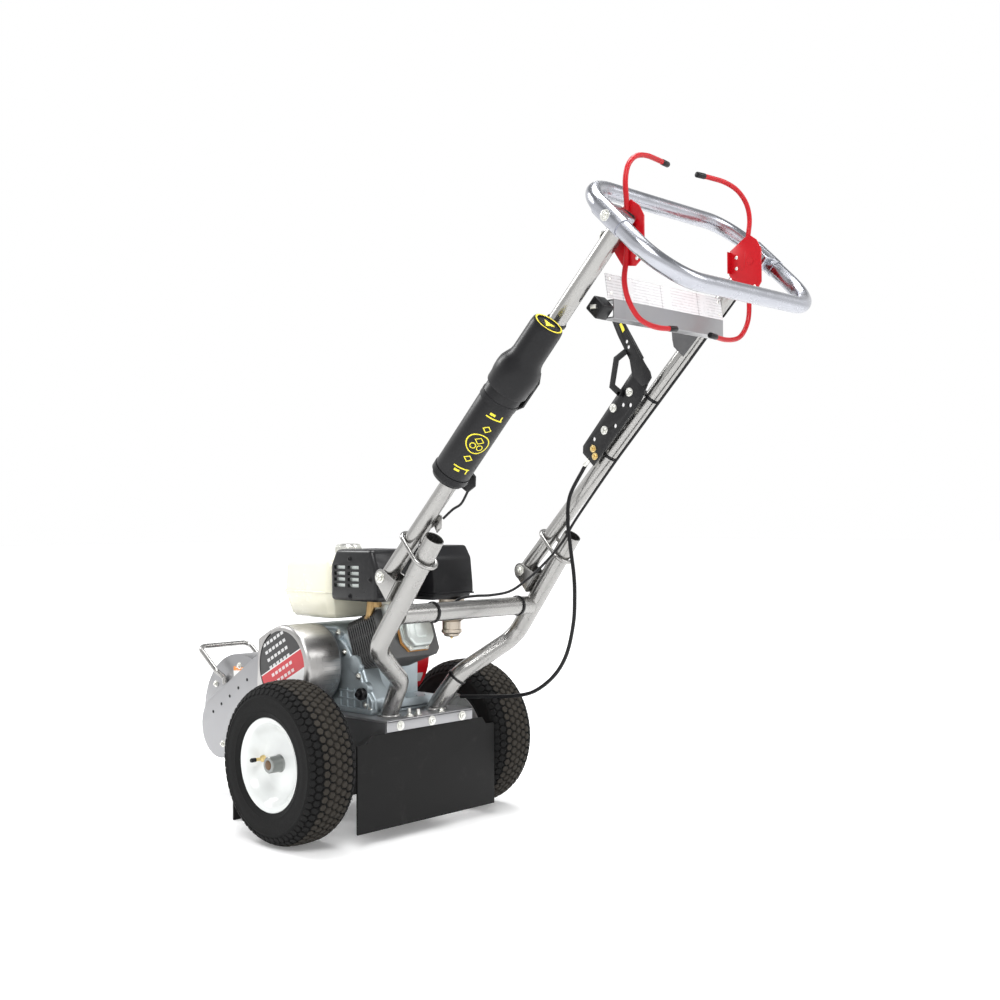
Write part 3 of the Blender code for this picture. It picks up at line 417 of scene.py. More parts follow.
class Wire:
    """The output of a shader node, with the arithmetic that adds Math nodes to it."""

    def __init__(self, finish, socket):
        self.finish = finish
        self.socket = socket

    def math(self, operation, *others):
        return self.finish.node("ShaderNodeMath", {"operation": operation}, self, *others)

    def __add__(self, other):
        return self.math("ADD", other)

    def __radd__(self, other):
        return self.math("ADD", other)

    def __sub__(self, other):
        return self.math("SUBTRACT", other)

    def __rsub__(self, other):
        return self.finish.node("ShaderNodeMath", {"operation": "SUBTRACT"}, other, self)

    def __mul__(self, other):
        return self.math("MULTIPLY", other)

    def __rmul__(self, other):
        return self.math("MULTIPLY", other)

    def __truediv__(self, other):
        return self.math("DIVIDE", other)

    def __lt__(self, other):
        return self.math("LESS_THAN", other)

    def __gt__(self, other):
        return self.math("GREATER_THAN", other)

    def clamp(self):
        return self.finish.node("ShaderNodeClamp", {}, self, 0.0, 1.0)


class Finish:
    """A material under construction."""

    def __init__(self, name, metallic=0.0, coat=0.0, shine=0.5):
        self.name = name
        self.material = bpy.data.materials.new(name)
        self.material.use_nodes = True
        self.tree = self.material.node_tree
        self.shader = self.tree.nodes["Principled BSDF"]
        self.shader.inputs["Metallic"].default_value = metallic
        self.shader.inputs["Coat Weight"].default_value = coat
        self.shader.inputs["Coat Roughness"].default_value = 0.12
        self.shader.inputs["Specular IOR Level"].default_value = shine
        self.place = self.node("ShaderNodeTexCoord", output="Object")

    def node(self, kind, settings=None, *values, output=0, **named):
        made = self.tree.nodes.new(kind)
        for key, value in (settings or {}).items():
            setattr(made, key, value)
        for key, value in [*enumerate(values), *named.items()]:
            self.feed(made.inputs[key], value)
        return Wire(self, made.outputs[output])

    def feed(self, socket, value):
        if isinstance(value, Wire):
            self.tree.links.new(value.socket, socket)
        elif value is not None:
            socket.default_value = value

    def noise(self, scale, detail=4.0, roughness=0.55, where=None):
        return self.node(
            "ShaderNodeTexNoise",
            None,
            Vector=where or self.place,
            Scale=scale,
            Detail=detail,
            Roughness=roughness,
        )

    def stretched(self, scale):
        return self.node("ShaderNodeVectorMath", {"operation": "MULTIPLY"}, self.place, scale)

    def mix(self, share, first, second):
        made = self.tree.nodes.new("ShaderNodeMix")
        made.data_type = "RGBA"
        self.feed(made.inputs[0], share)
        self.feed(made.inputs[6], first)
        self.feed(made.inputs[7], second)
        return Wire(self, made.outputs[2])

    def split(self, where=None):
        made = self.tree.nodes.new("ShaderNodeSeparateXYZ")
        self.feed(made.inputs[0], where or self.place)
        return [Wire(self, made.outputs[i]) for i in range(3)]

    def dot(self, way, origin=(0, 0, 0)):
        moved = self.node("ShaderNodeVectorMath", {"operation": "SUBTRACT"}, self.place, tuple(origin))
        return self.node(
            "ShaderNodeVectorMath", {"operation": "DOT_PRODUCT"}, moved, tuple(way), output="Value"
        )

    def end(self, colour, roughness, height=None, strength=0.2, depth=0.0005):
        self.feed(self.shader.inputs["Base Color"], colour)
        self.feed(self.shader.inputs["Roughness"], roughness)
        if height is not None:
            bump = self.node("ShaderNodeBump", None, Strength=strength, Distance=depth, Height=height)
            self.feed(self.shader.inputs["Normal"], bump)
        LOOKS[self.name] = self.material
        return self.material


def shade(colour, by):
    return (*[min(1.0, max(0.0, channel * by)) for channel in colour[:3]], 1)


def painted(name, colour, roughness, metallic=0.0, coat=0.0, dust=0.15, orange_peel=400.0, shine=0.5):
    """Sprayed paint: an even coat with a faint orange peel, soft stains and dust in its low places."""
    finish = Finish(name, metallic, coat, shine)
    stains = finish.noise(9.0, 5.0)
    fine = finish.noise(45.0 if metallic > 0.5 else 120.0, 2.0)
    tone = finish.mix(stains, shade(colour, 0.86), shade(colour, 1.10))
    dusty = ((fine - 0.5) * 3.0).clamp() * dust
    tone = finish.mix(dusty, tone, shade((0.45, 0.42, 0.37), 1))
    rough = (stains - 0.5) * 0.25 + (fine - 0.5) * 0.15 + roughness
    peel = finish.noise(orange_peel, 2.0) if metallic < 0.5 else None
    return finish.end(tone, rough.clamp(), peel, 0.03)


def plated(name, colour, roughness, metallic=1.0, streak=(1.5, 1.5, 1.5)):
    """Bright plating with drawn streaks and finger marks."""
    finish = Finish(name, metallic)
    drawn = finish.noise(20.0, 2.0, where=finish.stretched(streak))
    marks = finish.noise(9.0, 3.0, 0.5)
    tone = finish.mix(marks, shade(colour, 0.88), shade(colour, 1.08))
    rough = (drawn - 0.5) * 0.25 + (marks - 0.5) * 0.2 + roughness
    return finish.end(tone, rough.clamp())


def cast(name, colour, roughness):
    """Sand-cast aluminium with grit in its skin."""
    finish = Finish(name, 0.75)
    grit = finish.noise(420.0, 5.0, 0.7)
    stains = finish.noise(18.0, 5.0)
    tone = finish.mix(stains, shade(colour, 0.72), shade(colour, 1.15))
    tone = finish.mix(((grit - 0.55) * 4.0).clamp() * 0.4, tone, shade(colour, 0.45))
    return finish.end(tone, ((grit - 0.5) * 0.4 + roughness).clamp(), grit, 0.35)


def moulded(name, colour, roughness, grain=650.0, strength=0.18, scuff=0.25, shine=0.25):
    """Moulded plastic or rubber with a fine grain and pale scuffs."""
    finish = Finish(name, shine=shine)
    fine = finish.noise(grain, 3.0, 0.6)
    wear = finish.noise(22.0, 7.0, 0.7)
    scuffs = ((wear - 0.58) * 5.0).clamp() * scuff
    tone = finish.mix(scuffs, shade(colour, 1.0), (0.16, 0.155, 0.15, 1))
    rough = scuffs * 0.3 + (fine - 0.5) * 0.2 + roughness
    return finish.end(tone, rough.clamp(), fine, strength)


def tread(name, colour, earth):
    """Tyre rubber, with dried earth on the blocks where they stand out of the carcass."""
    finish = Finish(name, shine=0.2)
    x, y, z = finish.split()
    reach = ((x - AXLE.x) * (x - AXLE.x) + (z - AXLE.z) * (z - AXLE.z)).math("SQRT")
    fine = finish.noise(300.0, 5.0, 0.7)
    patches = finish.noise(35.0, 6.0, 0.7)
    crown = ((reach - 0.1600) * 900.0).clamp() * (0.45 + patches * 0.9).clamp()
    tone = finish.mix(crown, colour, earth)
    tone = finish.mix(((patches - 0.62) * 4.0).clamp() * 0.3, tone, shade(earth, 0.7))
    rough = (fine - 0.5) * 0.3 + 0.78
    return finish.end(tone, rough.clamp(), fine, 0.3)


def turned_steel(name, colour, centre, roughness):
    """Steel turned on a lathe about an axis along Y: fine rings round it and a dull bloom."""
    finish = Finish(name, 1.0)
    x, y, z = finish.split()
    reach = ((x - centre.x) * (x - centre.x) + (z - centre.z) * (z - centre.z)).math("SQRT")
    rings = ((reach + y) * 5200.0).math("SINE") * 0.5 + 0.5
    bloom = finish.noise(11.0, 5.0, 0.6)
    grain = finish.noise(40.0, 4.0, where=finish.stretched((1, 30, 1)))
    tone = finish.mix(bloom, shade(colour, 0.72), shade(colour, 1.12))
    rough = rings * 0.08 + (grain - 0.5) * 0.25 + (bloom - 0.5) * 0.15 + roughness
    return finish.end(tone, rough.clamp(), rings * 0.3 + grain, 0.12)


def banded(name, over, centre, edges, pale, bright, dark):
    """A sticker in three bands, dark, bright and pale, with plain bars where wording would be."""
    finish = Finish(name, 0.0, 0.2)
    along = Vector(over).cross(ACROSS)
    t, s = finish.dot(over, centre), finish.dot(along, centre)
    top, low, pitch = edges
    rows = ((t / pitch).math("FRACT") > 0.60) * ((s / (pitch * 0.8)).math("FRACT") > 0.3)
    edge = s.math("ABSOLUTE") < pitch * 2.4
    tone = finish.mix(t > low, pale, bright)
    tone = finish.mix(t > top, tone, dark)
    lines = ((t - top).math("ABSOLUTE") < pitch * 0.07) + ((t - low).math("ABSOLUTE") < pitch * 0.07)
    tone = finish.mix((lines + rows * edge * (t > low) * 0.8).clamp(), tone, pale)
    wear = finish.noise(60.0, 5.0)
    return finish.end(tone, ((wear - 0.5) * 0.3 + 0.4).clamp(), wear, 0.02)


def make_finishes(colours):
    tube = tuple(colours.tube)
    painted("tube", tube, 0.25, 0.95, dust=0.02)
    painted("deck", tuple(colours.deck), 0.34, 0.85, dust=0.08)
    # Painted shade: the side plates and the gusset take the deck paint darkened to 30%, standing in for the
    # shade on their upright faces.
    painted("deck_painted_shade", shade(colours.deck, 0.30), 0.42, 0.6, dust=0.05)
    painted("white", tuple(colours.rim), 0.22, 0.0, 0.4, dust=0.05)
    painted("red", tuple(colours.red), 0.34, 0.0, 0.0, dust=0.0, shine=0.3)
    painted("cream", tuple(colours.tank), 0.24, 0.0, 0.4, dust=0.03)
    painted("black_metal", (0.006, 0.006, 0.007), 0.32, 0.0, 0.1, dust=0.02, shine=0.3)
    plated("loop", (0.44, 0.45, 0.49), 0.26)
    plated("zinc", (0.72, 0.72, 0.68), 0.30)
    plated("hub_steel", (0.26, 0.27, 0.26), 0.34)
    plated("gold_zinc", (0.72, 0.55, 0.25), 0.32)
    plated("pipe", (0.36, 0.24, 0.11), 0.30)
    plated("old_steel", (0.16, 0.10, 0.06), 0.45)
    plated("bronze", (0.50, 0.44, 0.37), 0.34)
    cast("cast", (0.46, 0.52, 0.55), 0.45)
    cast("bright_cast", (0.66, 0.70, 0.68), 0.38)
    cast("fin_metal", (0.13, 0.13, 0.13), 0.5)
    moulded("plastic", (0.006, 0.006, 0.007), 0.34, 400.0, 0.06, 0.06)
    moulded("soft_black", (0.006, 0.006, 0.007), 0.5, 300.0, 0.1, 0.06)
    moulded("flap", (0.006, 0.006, 0.006), 0.60, 400.0, 0.2, 0.06, 0.2)
    moulded("cable", (0.005, 0.005, 0.006), 0.38, 400.0, 0.05, 0.04)
    moulded("grey_label", (0.42, 0.42, 0.42), 0.4, 400.0, 0.05, 0.1)
    moulded("gasket", (0.35, 0.17, 0.05), 0.6, 400.0, 0.1, 0.1)
    moulded("yellow", (0.80, 0.68, 0.06), 0.35, 400.0, 0.05, 0.05)
    tread("tyre", (0.006, 0.006, 0.006, 1), (0.030, 0.026, 0.021, 1))
    turned_steel("drum", (0.50, 0.49, 0.48), CRANK, 0.30)
    turned_steel("cutter_steel", (0.45, 0.44, 0.42), CUTTER, 0.38)
    slope = (CUTTER - CRANK)
    slope.y = 0
    slope.normalize()
    over = ACROSS.cross(slope)
    over = over if over.z > 0 else -over
    banded(
        "banded",
        over,
        CRANK,
        (0.010, -0.030, 0.017),
        (0.72, 0.72, 0.72, 1),
        (0.52, 0.01, 0.02, 1),
        (0.01, 0.01, 0.01, 1),
    )
    banded(
        "caution",
        UP,
        CUTTER,
        (0.16, 0.105, 0.006),
        (0.85, 0.85, 0.82, 1),
        (0.85, 0.25, 0.01, 1),
        (0.85, 0.25, 0.01, 1),
    )
    make_label_finish()
    make_canister_finish()


def make_label_finish():
    """A white plate with faint grey lines and frames, and nothing to read."""
    finish = Finish("label", 0.0, 0.3)
    x, y, z = finish.split()
    rows = ((z * 190.0).math("FRACT") > 0.6) * ((y * 9.0).math("FRACT") > 0.18)
    breaks = finish.noise(90.0, 2.0, where=finish.stretched((1, 1, 12))) > 0.45
    frames = ((y * 9.0 + 0.09).math("FRACT") < 0.03)
    tone = finish.mix(
        (rows * breaks * 0.35 + frames * 0.4).clamp(), (0.66, 0.66, 0.67, 1), (0.20, 0.19, 0.20, 1)
    )
    wear = finish.noise(30.0, 5.0)
    return finish.end(tone, ((wear - 0.5) * 0.3 + 0.3).clamp(), wear, 0.03)


CANISTER = on_handle(0.0, -0.029, -HANDLE_Y - 0.052)


def make_canister_finish():
    """Black plastic with a plain printed row of yellow ring, chevrons and dots along one side."""
    finish = Finish("canister", shine=0.3)
    facing = (AHEAD * 0.91 - ACROSS * 0.41).normalized()
    facing = (facing - ALONG * facing.dot(ALONG)).normalized()
    side = ALONG.cross(facing).normalized()
    s, t, front = finish.dot(ALONG, CANISTER), finish.dot(side, CANISTER), finish.dot(facing, CANISTER)

    def near(s0, t0):
        return ((s - s0) * (s - s0) + (t - t0) * (t - t0)).math("SQRT")

    def about(wire, value, half):
        return (wire - value).math("ABSOLUTE") < half

    def diamond(s0, t0, size):
        return (s - s0).math("ABSOLUTE") + (t - t0).math("ABSOLUTE") * 0.8 - size

    middle = 0.390
    marks = about(near(middle, 0), 0.0195, 0.0010) + about(near(middle - 0.006, -0.006), 0.0050, 0.0008)
    marks = marks + about(near(middle - 0.006, 0.007), 0.0050, 0.0008)
    marks = marks + about(diamond(middle + 0.007, 0, 0), 0.0065, 0.0010)
    for sign in (1, -1):
        marks = marks + about(diamond(middle + 0.033 * sign, 0, 0), 0.0060, 0.0011)
        hook = about(s, middle + 0.056 * sign, 0.0012) * (t.math("ABSOLUTE") < 0.015)
        bar = about(t, 0.012, 0.0012) * about(s, middle + 0.060 * sign, 0.0055)
        dot = about(s, middle + 0.063 * sign, 0.0022) * about(t, -0.006, 0.0050)
        marks = marks + hook + bar + dot
    shown = (marks * (front > 0.0)).clamp()
    fine = finish.noise(400.0, 3.0)
    wear = finish.noise(20.0, 6.0)
    base = finish.mix(((wear - 0.6) * 4.0).clamp() * 0.08, (0.006, 0.006, 0.007, 1), (0.10, 0.10, 0.10, 1))
    tone = finish.mix(shown, base, (0.78, 0.68, 0.04, 1))
    return finish.end(tone, ((fine - 0.5) * 0.15 + 0.38).clamp(), fine, 0.04)


# ---------------------------------------------------------------- sizes and colours


def length(name, value, words):
    return FloatProperty(name=name, description=words, default=value, unit="LENGTH", precision=4)


def colour(name, value, words):
    return FloatVectorProperty(name=name, description=words, default=value, subtype="COLOR", min=0, max=1)


class GrinderSizes(bpy.types.PropertyGroup):
    lug_radius: length("Tread block", 0.0082, "Half the width of a block of the tread")
    lugs_round: IntProperty(
        name="Blocks in a row", description="Tread blocks round the tyre", default=60, min=12
    )
    bolt: length("Bolt head", 0.0075, "Half the width of a bolt's head across its corners")
    fin_pitch: length("Fin pitch", 0.0072, "From one cylinder fin to the next")
    tie: length("Cable tie", 0.0013, "Half the thickness of a cable tie")


class GrinderColours(bpy.types.PropertyGroup):
    tube: colour("Tubes", (0.36, 0.355, 0.345), "Paint of the frame and handle tubes")
    deck: colour("Deck", (0.34, 0.34, 0.35), "Paint of the deck and guards")
    rim: colour("Rims", (0.70, 0.72, 0.71), "Enamel of the wheel rims")
    red: colour("Red", (0.42, 0.003, 0.008), "Paint of the levers and fan cover")
    tank: colour("Tank", (0.76, 0.74, 0.60), "Enamel of the fuel tank")


class GRINDER_OT_finishes(bpy.types.Operator):
    """Make every paint, metal, rubber and plastic of the machine"""

    bl_idname = "grinder.finishes"
    bl_label = "Finishes"

    def execute(self, context):
        make_finishes(context.scene.grinder_colours)
        return {"FINISHED"}


TYRE_CROWN = (
    (0.0, 0.1615, 0), (0.0142, 0.1611, 4), (0.0284, 0.1594, 14), (0.0412, 0.1540, 33), (0.0500, 0.1455, 58)
)


class GRINDER_OT_wheels(bpy.types.Operator):
    """Tyres with a block tread, dished rims, hubs and valves"""

    bl_idname = "grinder.wheels"
    bl_label = "Wheels"

    def execute(self, context):
        sizes = context.scene.grinder_sizes
        for side, sign in SIDES:
            self.tyre(sizes, side, sign)
            self.rim(side, sign)
        ends = Vector((AXLE.x, -0.306, AXLE.z)), Vector((AXLE.x, 0.306, AXLE.z))
        done(rod(*ends, 0.0095, 0.0015, 40), "axle_bar", "chassis", "old_steel", "steel", "axle")
        for side, sign in SIDES:
            low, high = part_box(f"axle_spacer_{side}")
            start, end = Vector((AXLE.x, low.y, AXLE.z)), Vector((AXLE.x, high.y, AXLE.z))
            sleeve = rod(start, end, 0.014, 0.001, 40)
            done(sleeve, f"spacer_{side}", "chassis", "zinc", "zinc", f"axle_spacer_{side}")
        return {"FINISHED"}

    def tyre(self, sizes, side, sign):
        centre = Vector((AXLE.x, sign * WHEEL_OUT, AXLE.z))
        way = ACROSS * sign
        half = (
            (0.0950, 0.0505),
            (0.0990, 0.0530),
            (0.1040, 0.0545),
            (0.1060, 0.0560),
            (0.1090, 0.0555),
            (0.1150, 0.0568),
            (0.1250, 0.0570),
            (0.1340, 0.0560),
            (0.1360, 0.0568),
            (0.1385, 0.0558),
            (0.1455, 0.0505),
            (0.1520, 0.0425),
            (0.1575, 0.0320),
            (0.1600, 0.0180),
        )
        ring = [*half, (0.1608, 0.0), *[(r, -h) for r, h in reversed(half)]]
        carcass = lathe(ring, centre, way, 96, True)
        fresh()
        bpy.ops.mesh.primitive_cone_add(
            vertices=6,
            radius1=sizes.lug_radius,
            radius2=sizes.lug_radius * 0.84,
            depth=0.0064,
            location=(0, 0, 0.0002),
        )
        pattern = soften(join([bpy.context.object]), 0.0006, 1, 50)
        places = []
        for row, (out, reach, tilt) in enumerate(TYRE_CROWN):
            for lean in (1, -1) if row else (1,):
                for i in range(sizes.lugs_round):
                    turn = math.tau * (i + 0.5 * (row % 2)) / sizes.lugs_round
                    spoke = AHEAD * math.cos(turn) + UP * math.sin(turn)
                    normal = spoke * math.cos(math.radians(tilt)) + way * lean * math.sin(math.radians(tilt))
                    spot = centre + spoke * reach + way * (lean * out)
                    forward = way.cross(spoke)
                    over = forward.cross(normal)
                    pose = Matrix((over, forward, normal)).transposed().to_4x4()
                    places.append(Matrix.Translation(spot) @ pose @ Matrix.Rotation(math.pi / 2, 4, "Z"))
        lugs = spread(pattern, places)
        done(join([carcass, lugs]), f"turf_tyre_{side}", f"wheel_{side}", "tyre", "tyre", f"tyre_{side}")

    def rim(self, side, sign):
        centre = Vector((AXLE.x, sign * WHEEL_OUT, AXLE.z))
        way = ACROSS * sign
        outer = (
            (0.0165, 0.0215),
            (0.0300, 0.0205),
            (0.0440, 0.0185),
            (0.0540, 0.0180),
            (0.0620, 0.0200),
            (0.0700, 0.0250),
            (0.0770, 0.0330),
            (0.0820, 0.0420),
            (0.0850, 0.0455),
            (0.0880, 0.0468),
            (0.0905, 0.0490),
            (0.0935, 0.0500),
            (0.0948, 0.0490),
        )
        inner = (
            (0.0948, -0.0490),
            (0.0905, -0.0490),
            (0.0860, -0.0440),
            (0.0835, -0.0300),
            (0.0830, 0.0100),
            (0.0740, 0.0170),
            (0.0540, 0.0145),
            (0.0165, 0.0175),
        )
        dish = lathe([*outer, *inner], centre, way, 96, True)
        done(dish, f"dish_{side}", f"wheel_{side}", "white", "white", f"rim_{side}")
        bush = (
            (0.0100, -0.028),
            (0.0180, -0.028),
            (0.0180, 0.0225),
            (0.0165, 0.024),
            (0.0165, 0.0485),
            (0.0150, 0.0500),
            (0.0100, 0.0500),
        )
        done(lathe(bush, centre, way, 48, True), f"hub_{side}", f"wheel_{side}", "hub_steel", "zinc")
        foot = centre + AHEAD * -0.058 + UP * 0.002
        stem = (
            (0.0, 0.018), (0.0075, 0.018), (0.0065, 0.024), (0.0036, 0.027), (0.0036, 0.040), (0.0, 0.040)
        )
        done(lathe(stem, foot, way, 24), f"valve_{side}", f"wheel_{side}", "gold_zinc", "zinc")
        cap = ((0.0, 0.039), (0.0044, 0.039), (0.0046, 0.048), (0.0036, 0.0505), (0.0, 0.0505))
        done(lathe(cap, foot, way, 10), f"valve_cap_{side}", f"wheel_{side}", "plastic", "black", angle=20)


class GRINDER_OT_deck(bpy.types.Operator):
    """The deck plate with its flange, side plates, flaps and bolts"""

    bl_idname = "grinder.deck"
    bl_label = "Deck and flaps"

    def execute(self, context):
        low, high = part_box("deck")
        rear, front = high.x - AXLE.x, low.x - AXLE.x
        wide, nose, notch = high.y, 0.1035, -0.090
        top = (
            (front, -nose),
            (notch, -nose),
            (notch, -wide),
            (rear, -wide),
            (rear, wide),
            (notch, wide),
            (notch, nose),
            (front, nose),
        )
        sheet = slab(top, flat_xy, high.z - 0.005, high.z, 0.0012, 2)
        flange = block(at(rear - 0.005, -wide, low.z), at(rear, wide, high.z - 0.001), 0.0012)
        done(join([sheet, flange]), "deck_plate", "chassis", "deck", "deck", "deck")
        for side, sign in SIDES:
            low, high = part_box(f"side_plate_{side}")
            x0, x1 = low.x - AXLE.x, high.x - AXLE.x
            outline = (
                (x0, high.z),
                (x0, high.z - 0.036),
                (-0.072, low.z + 0.014),
                (-0.036, low.z),
                (0.036, low.z),
                (0.072, low.z + 0.014),
                (0.094, high.z - 0.032),
                (x1, high.z - 0.020),
                (x1, high.z),
            )
            cheek = slab(outline, flat_xz, low.y, high.y, 0.001)
            hub = rod((AXLE.x, low.y, AXLE.z), (AXLE.x, high.y + 0.003 * sign, AXLE.z), 0.021, 0.001, 40)
            # The side plates take the deck paint darkened to 30% as painted shade.
            done(join([cheek, hub]), f"deck_side_{side}", "chassis", "deck_painted_shade", "deck", f"side_plate_{side}")
        self.flaps()
        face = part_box("deck")[1].x
        spots = [(Vector((face, y, DECK_TOP - 0.0125)), AHEAD) for y in (-0.086, 0.002, 0.090)]
        spots += [(at(0.132, -0.045, DECK_TOP), UP), (at(0.128, -0.018, DECK_TOP), UP)]
        spots += [
            (at(0.132, 0.045, DECK_TOP), UP),
            (at(-0.20, 0.085, DECK_TOP), UP),
            (at(-0.20, 0.05, DECK_TOP), UP),
        ]
        done(hex_bolts(spots, context.scene.grinder_sizes.bolt), "deck_bolts", "chassis", "zinc", "zinc")
        studs = [
            rod(at(x, y, DECK_TOP), at(x, y, DECK_TOP + 0.014), 0.004, 0.0006, 20)
            for x, y in ((0.118, -0.033), (0.14, -0.028))
        ]
        done(join(studs), "deck_studs", "chassis", "zinc", "zinc")
        return {"FINISHED"}

    def flaps(self):
        low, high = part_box("rear_flap")
        tongue = 0.1166
        outline = (
            (low.y, 0.205),
            (low.y, low.z),
            (high.y, low.z),
            (high.y, 0.205),
            (0.170, 0.206),
            (0.158, 0.2215),
            (tongue, 0.2215),
            (tongue, high.z),
            (-tongue, high.z),
            (-tongue, 0.2215),
            (-0.158, 0.2215),
            (-0.170, 0.206),
        )
        x = low.x - AXLE.x, high.x - AXLE.x
        done(slab(outline, flat_yz, *x, 0.0014, 3), "rear_rubber", "chassis", "flap", "flap", "rear_flap")
        low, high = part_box("front_skirt")
        outline = (
            (low.y, low.z),
            (high.y, low.z),
            (high.y, 0.150),
            (0.1035, 0.150),
            (0.1035, high.z),
            (-0.018, high.z),
            (-0.018, 0.150),
            (low.y, 0.150),
        )
        x = low.x - AXLE.x, high.x - AXLE.x
        done(slab(outline, flat_yz, *x, 0.0014, 3), "front_rubber", "chassis", "flap", "flap", "front_skirt")


UPRIGHT_ELBOW = at(0.207, 0, 0.399)
UPRIGHT_TOP = at(0.372, 0, 0.618)
UPRIGHT_RUN = (UPRIGHT_TOP - UPRIGHT_ELBOW).normalized()
UPRIGHT_OUT = Vector((-UPRIGHT_RUN.z, 0, UPRIGHT_RUN.x))
CROSS_TUBE = UPRIGHT_ELBOW + UPRIGHT_RUN * ((0.470 - 0.399) / UPRIGHT_RUN.z)


def upright_path(sign):
    foot = at(0.092, 0, DECK_TOP)
    points = [
        foot + ACROSS * sign * 0.066,
        foot + Vector((0.010, sign * 0.069, 0.016)),
        foot + Vector((0.058, sign * 0.085, 0.079)),
        UPRIGHT_ELBOW + ACROSS * sign * HANDLE_Y,
        UPRIGHT_TOP + ACROSS * sign * HANDLE_Y,
    ]
    return rounded(points, (0, 0.010, 0.05, 0.06, 0), 12)


def tie_round(centre, axis, radius, thick):
    """A cable tie: a flat strap round a tube, with its square head."""
    strap = oblong(radius, -0.0024, radius + thick * 1.6, 0.0024)
    band = lathe(strap, centre, axis, 40, True)
    side = square_to(axis)
    head = block(Vector((-0.004, -0.003, -0.003)), Vector((0.004, 0.003, 0.003)), 0.0006)
    head.matrix_world = stand(centre + side * (radius + 0.003), side)
    return join([band, head])


class GRINDER_OT_frame(bpy.types.Operator):
    """Uprights, cross tube, pivot brackets and their bolts"""

    bl_idname = "grinder.frame"
    bl_label = "Uprights"

    def execute(self, context):
        for side, sign in SIDES:
            tube = pipe(upright_path(sign), UPRIGHT_RADIUS, 32, wall=0.0022, open_ends=(-1,))
            foot = upright_path(sign)[0]
            bead = ((0.0185, 0.0), (0.0255, 0.0), (0.0245, 0.0028), (0.0185, 0.0055))
            weld = lathe(bead, foot + UP * 0.0002, UP, 36, True)
            done(join([tube, weld]), f"upright_tube_{side}", "chassis", "tube", "tube", f"upright_{side}")
            self.bracket(side, sign)
        ends = [CROSS_TUBE + ACROSS * y for y in (-0.185, 0.185)]
        done(pipe(ends, UPRIGHT_RADIUS, 32), "cross_tube_bar", "chassis", "tube", "tube", "cross_tube")
        thick = context.scene.grinder_sizes.tie
        ties = [
            tie_round(CROSS_TUBE + ACROSS * y, ACROSS, UPRIGHT_RADIUS + 0.0004, thick)
            for y in (-0.098, 0.148)
        ]
        path = upright_path(1)
        ties.append(tie_round(path[16], path[17] - path[16], UPRIGHT_RADIUS + 0.0004, thick))
        done(join(ties), "frame_ties", "chassis", "plastic", "black")
        return {"FINISHED"}

    def bracket(self, side, sign):
        offset = PIVOT - UPRIGHT_ELBOW
        reach, height = offset.dot(UPRIGHT_OUT), offset.dot(UPRIGHT_RUN)

        def lay(u, v, w):
            along = UPRIGHT_ELBOW + UPRIGHT_OUT * u + UPRIGHT_RUN * (height + v)
            return along + ACROSS * (sign * HANDLE_Y + w)

        near, tall, nose = UPRIGHT_RADIUS, 0.018, 0.012
        cheek = [
            (near, -tall - 0.008),
            (near, tall + 0.004),
            *[(reach + u, v) for u, v in arc((0, 0), nose + 0.004, 70, -70, 8)],
        ]
        low, high = HANDLE_RADIUS + 0.0006, HANDLE_RADIUS + 0.0036
        parts = [slab(cheek, lay, low, high, 0.0007), slab(cheek, lay, -high, -low, 0.0007)]
        web = oblong(near - 0.001, -tall - 0.008, near + 0.003, tall + 0.004)
        parts.append(slab(web, lay, -high, high, 0.0007))
        done(join(parts), f"pivot_cheeks_{side}", "chassis", "tube", "tube", f"pivot_bracket_{side}")
        spot = PIVOT + ACROSS * sign * HANDLE_Y
        out = high + 0.0005
        spots = [(spot + ACROSS * out, ACROSS), (spot - ACROSS * out, -ACROSS)]
        shank = rod(spot - ACROSS * out, spot + ACROSS * out, 0.0048, 0, 24)
        bolt = join([hex_bolts(spots, 0.0085, 0.0055), shank])
        done(bolt, f"pivot_pin_{side}", "chassis", "zinc", "zinc", f"pivot_bolt_{side}")


LOOP_AT = PIVOT + ALONG * HANDLE_LENGTH
LOOP_HALF = 0.2283


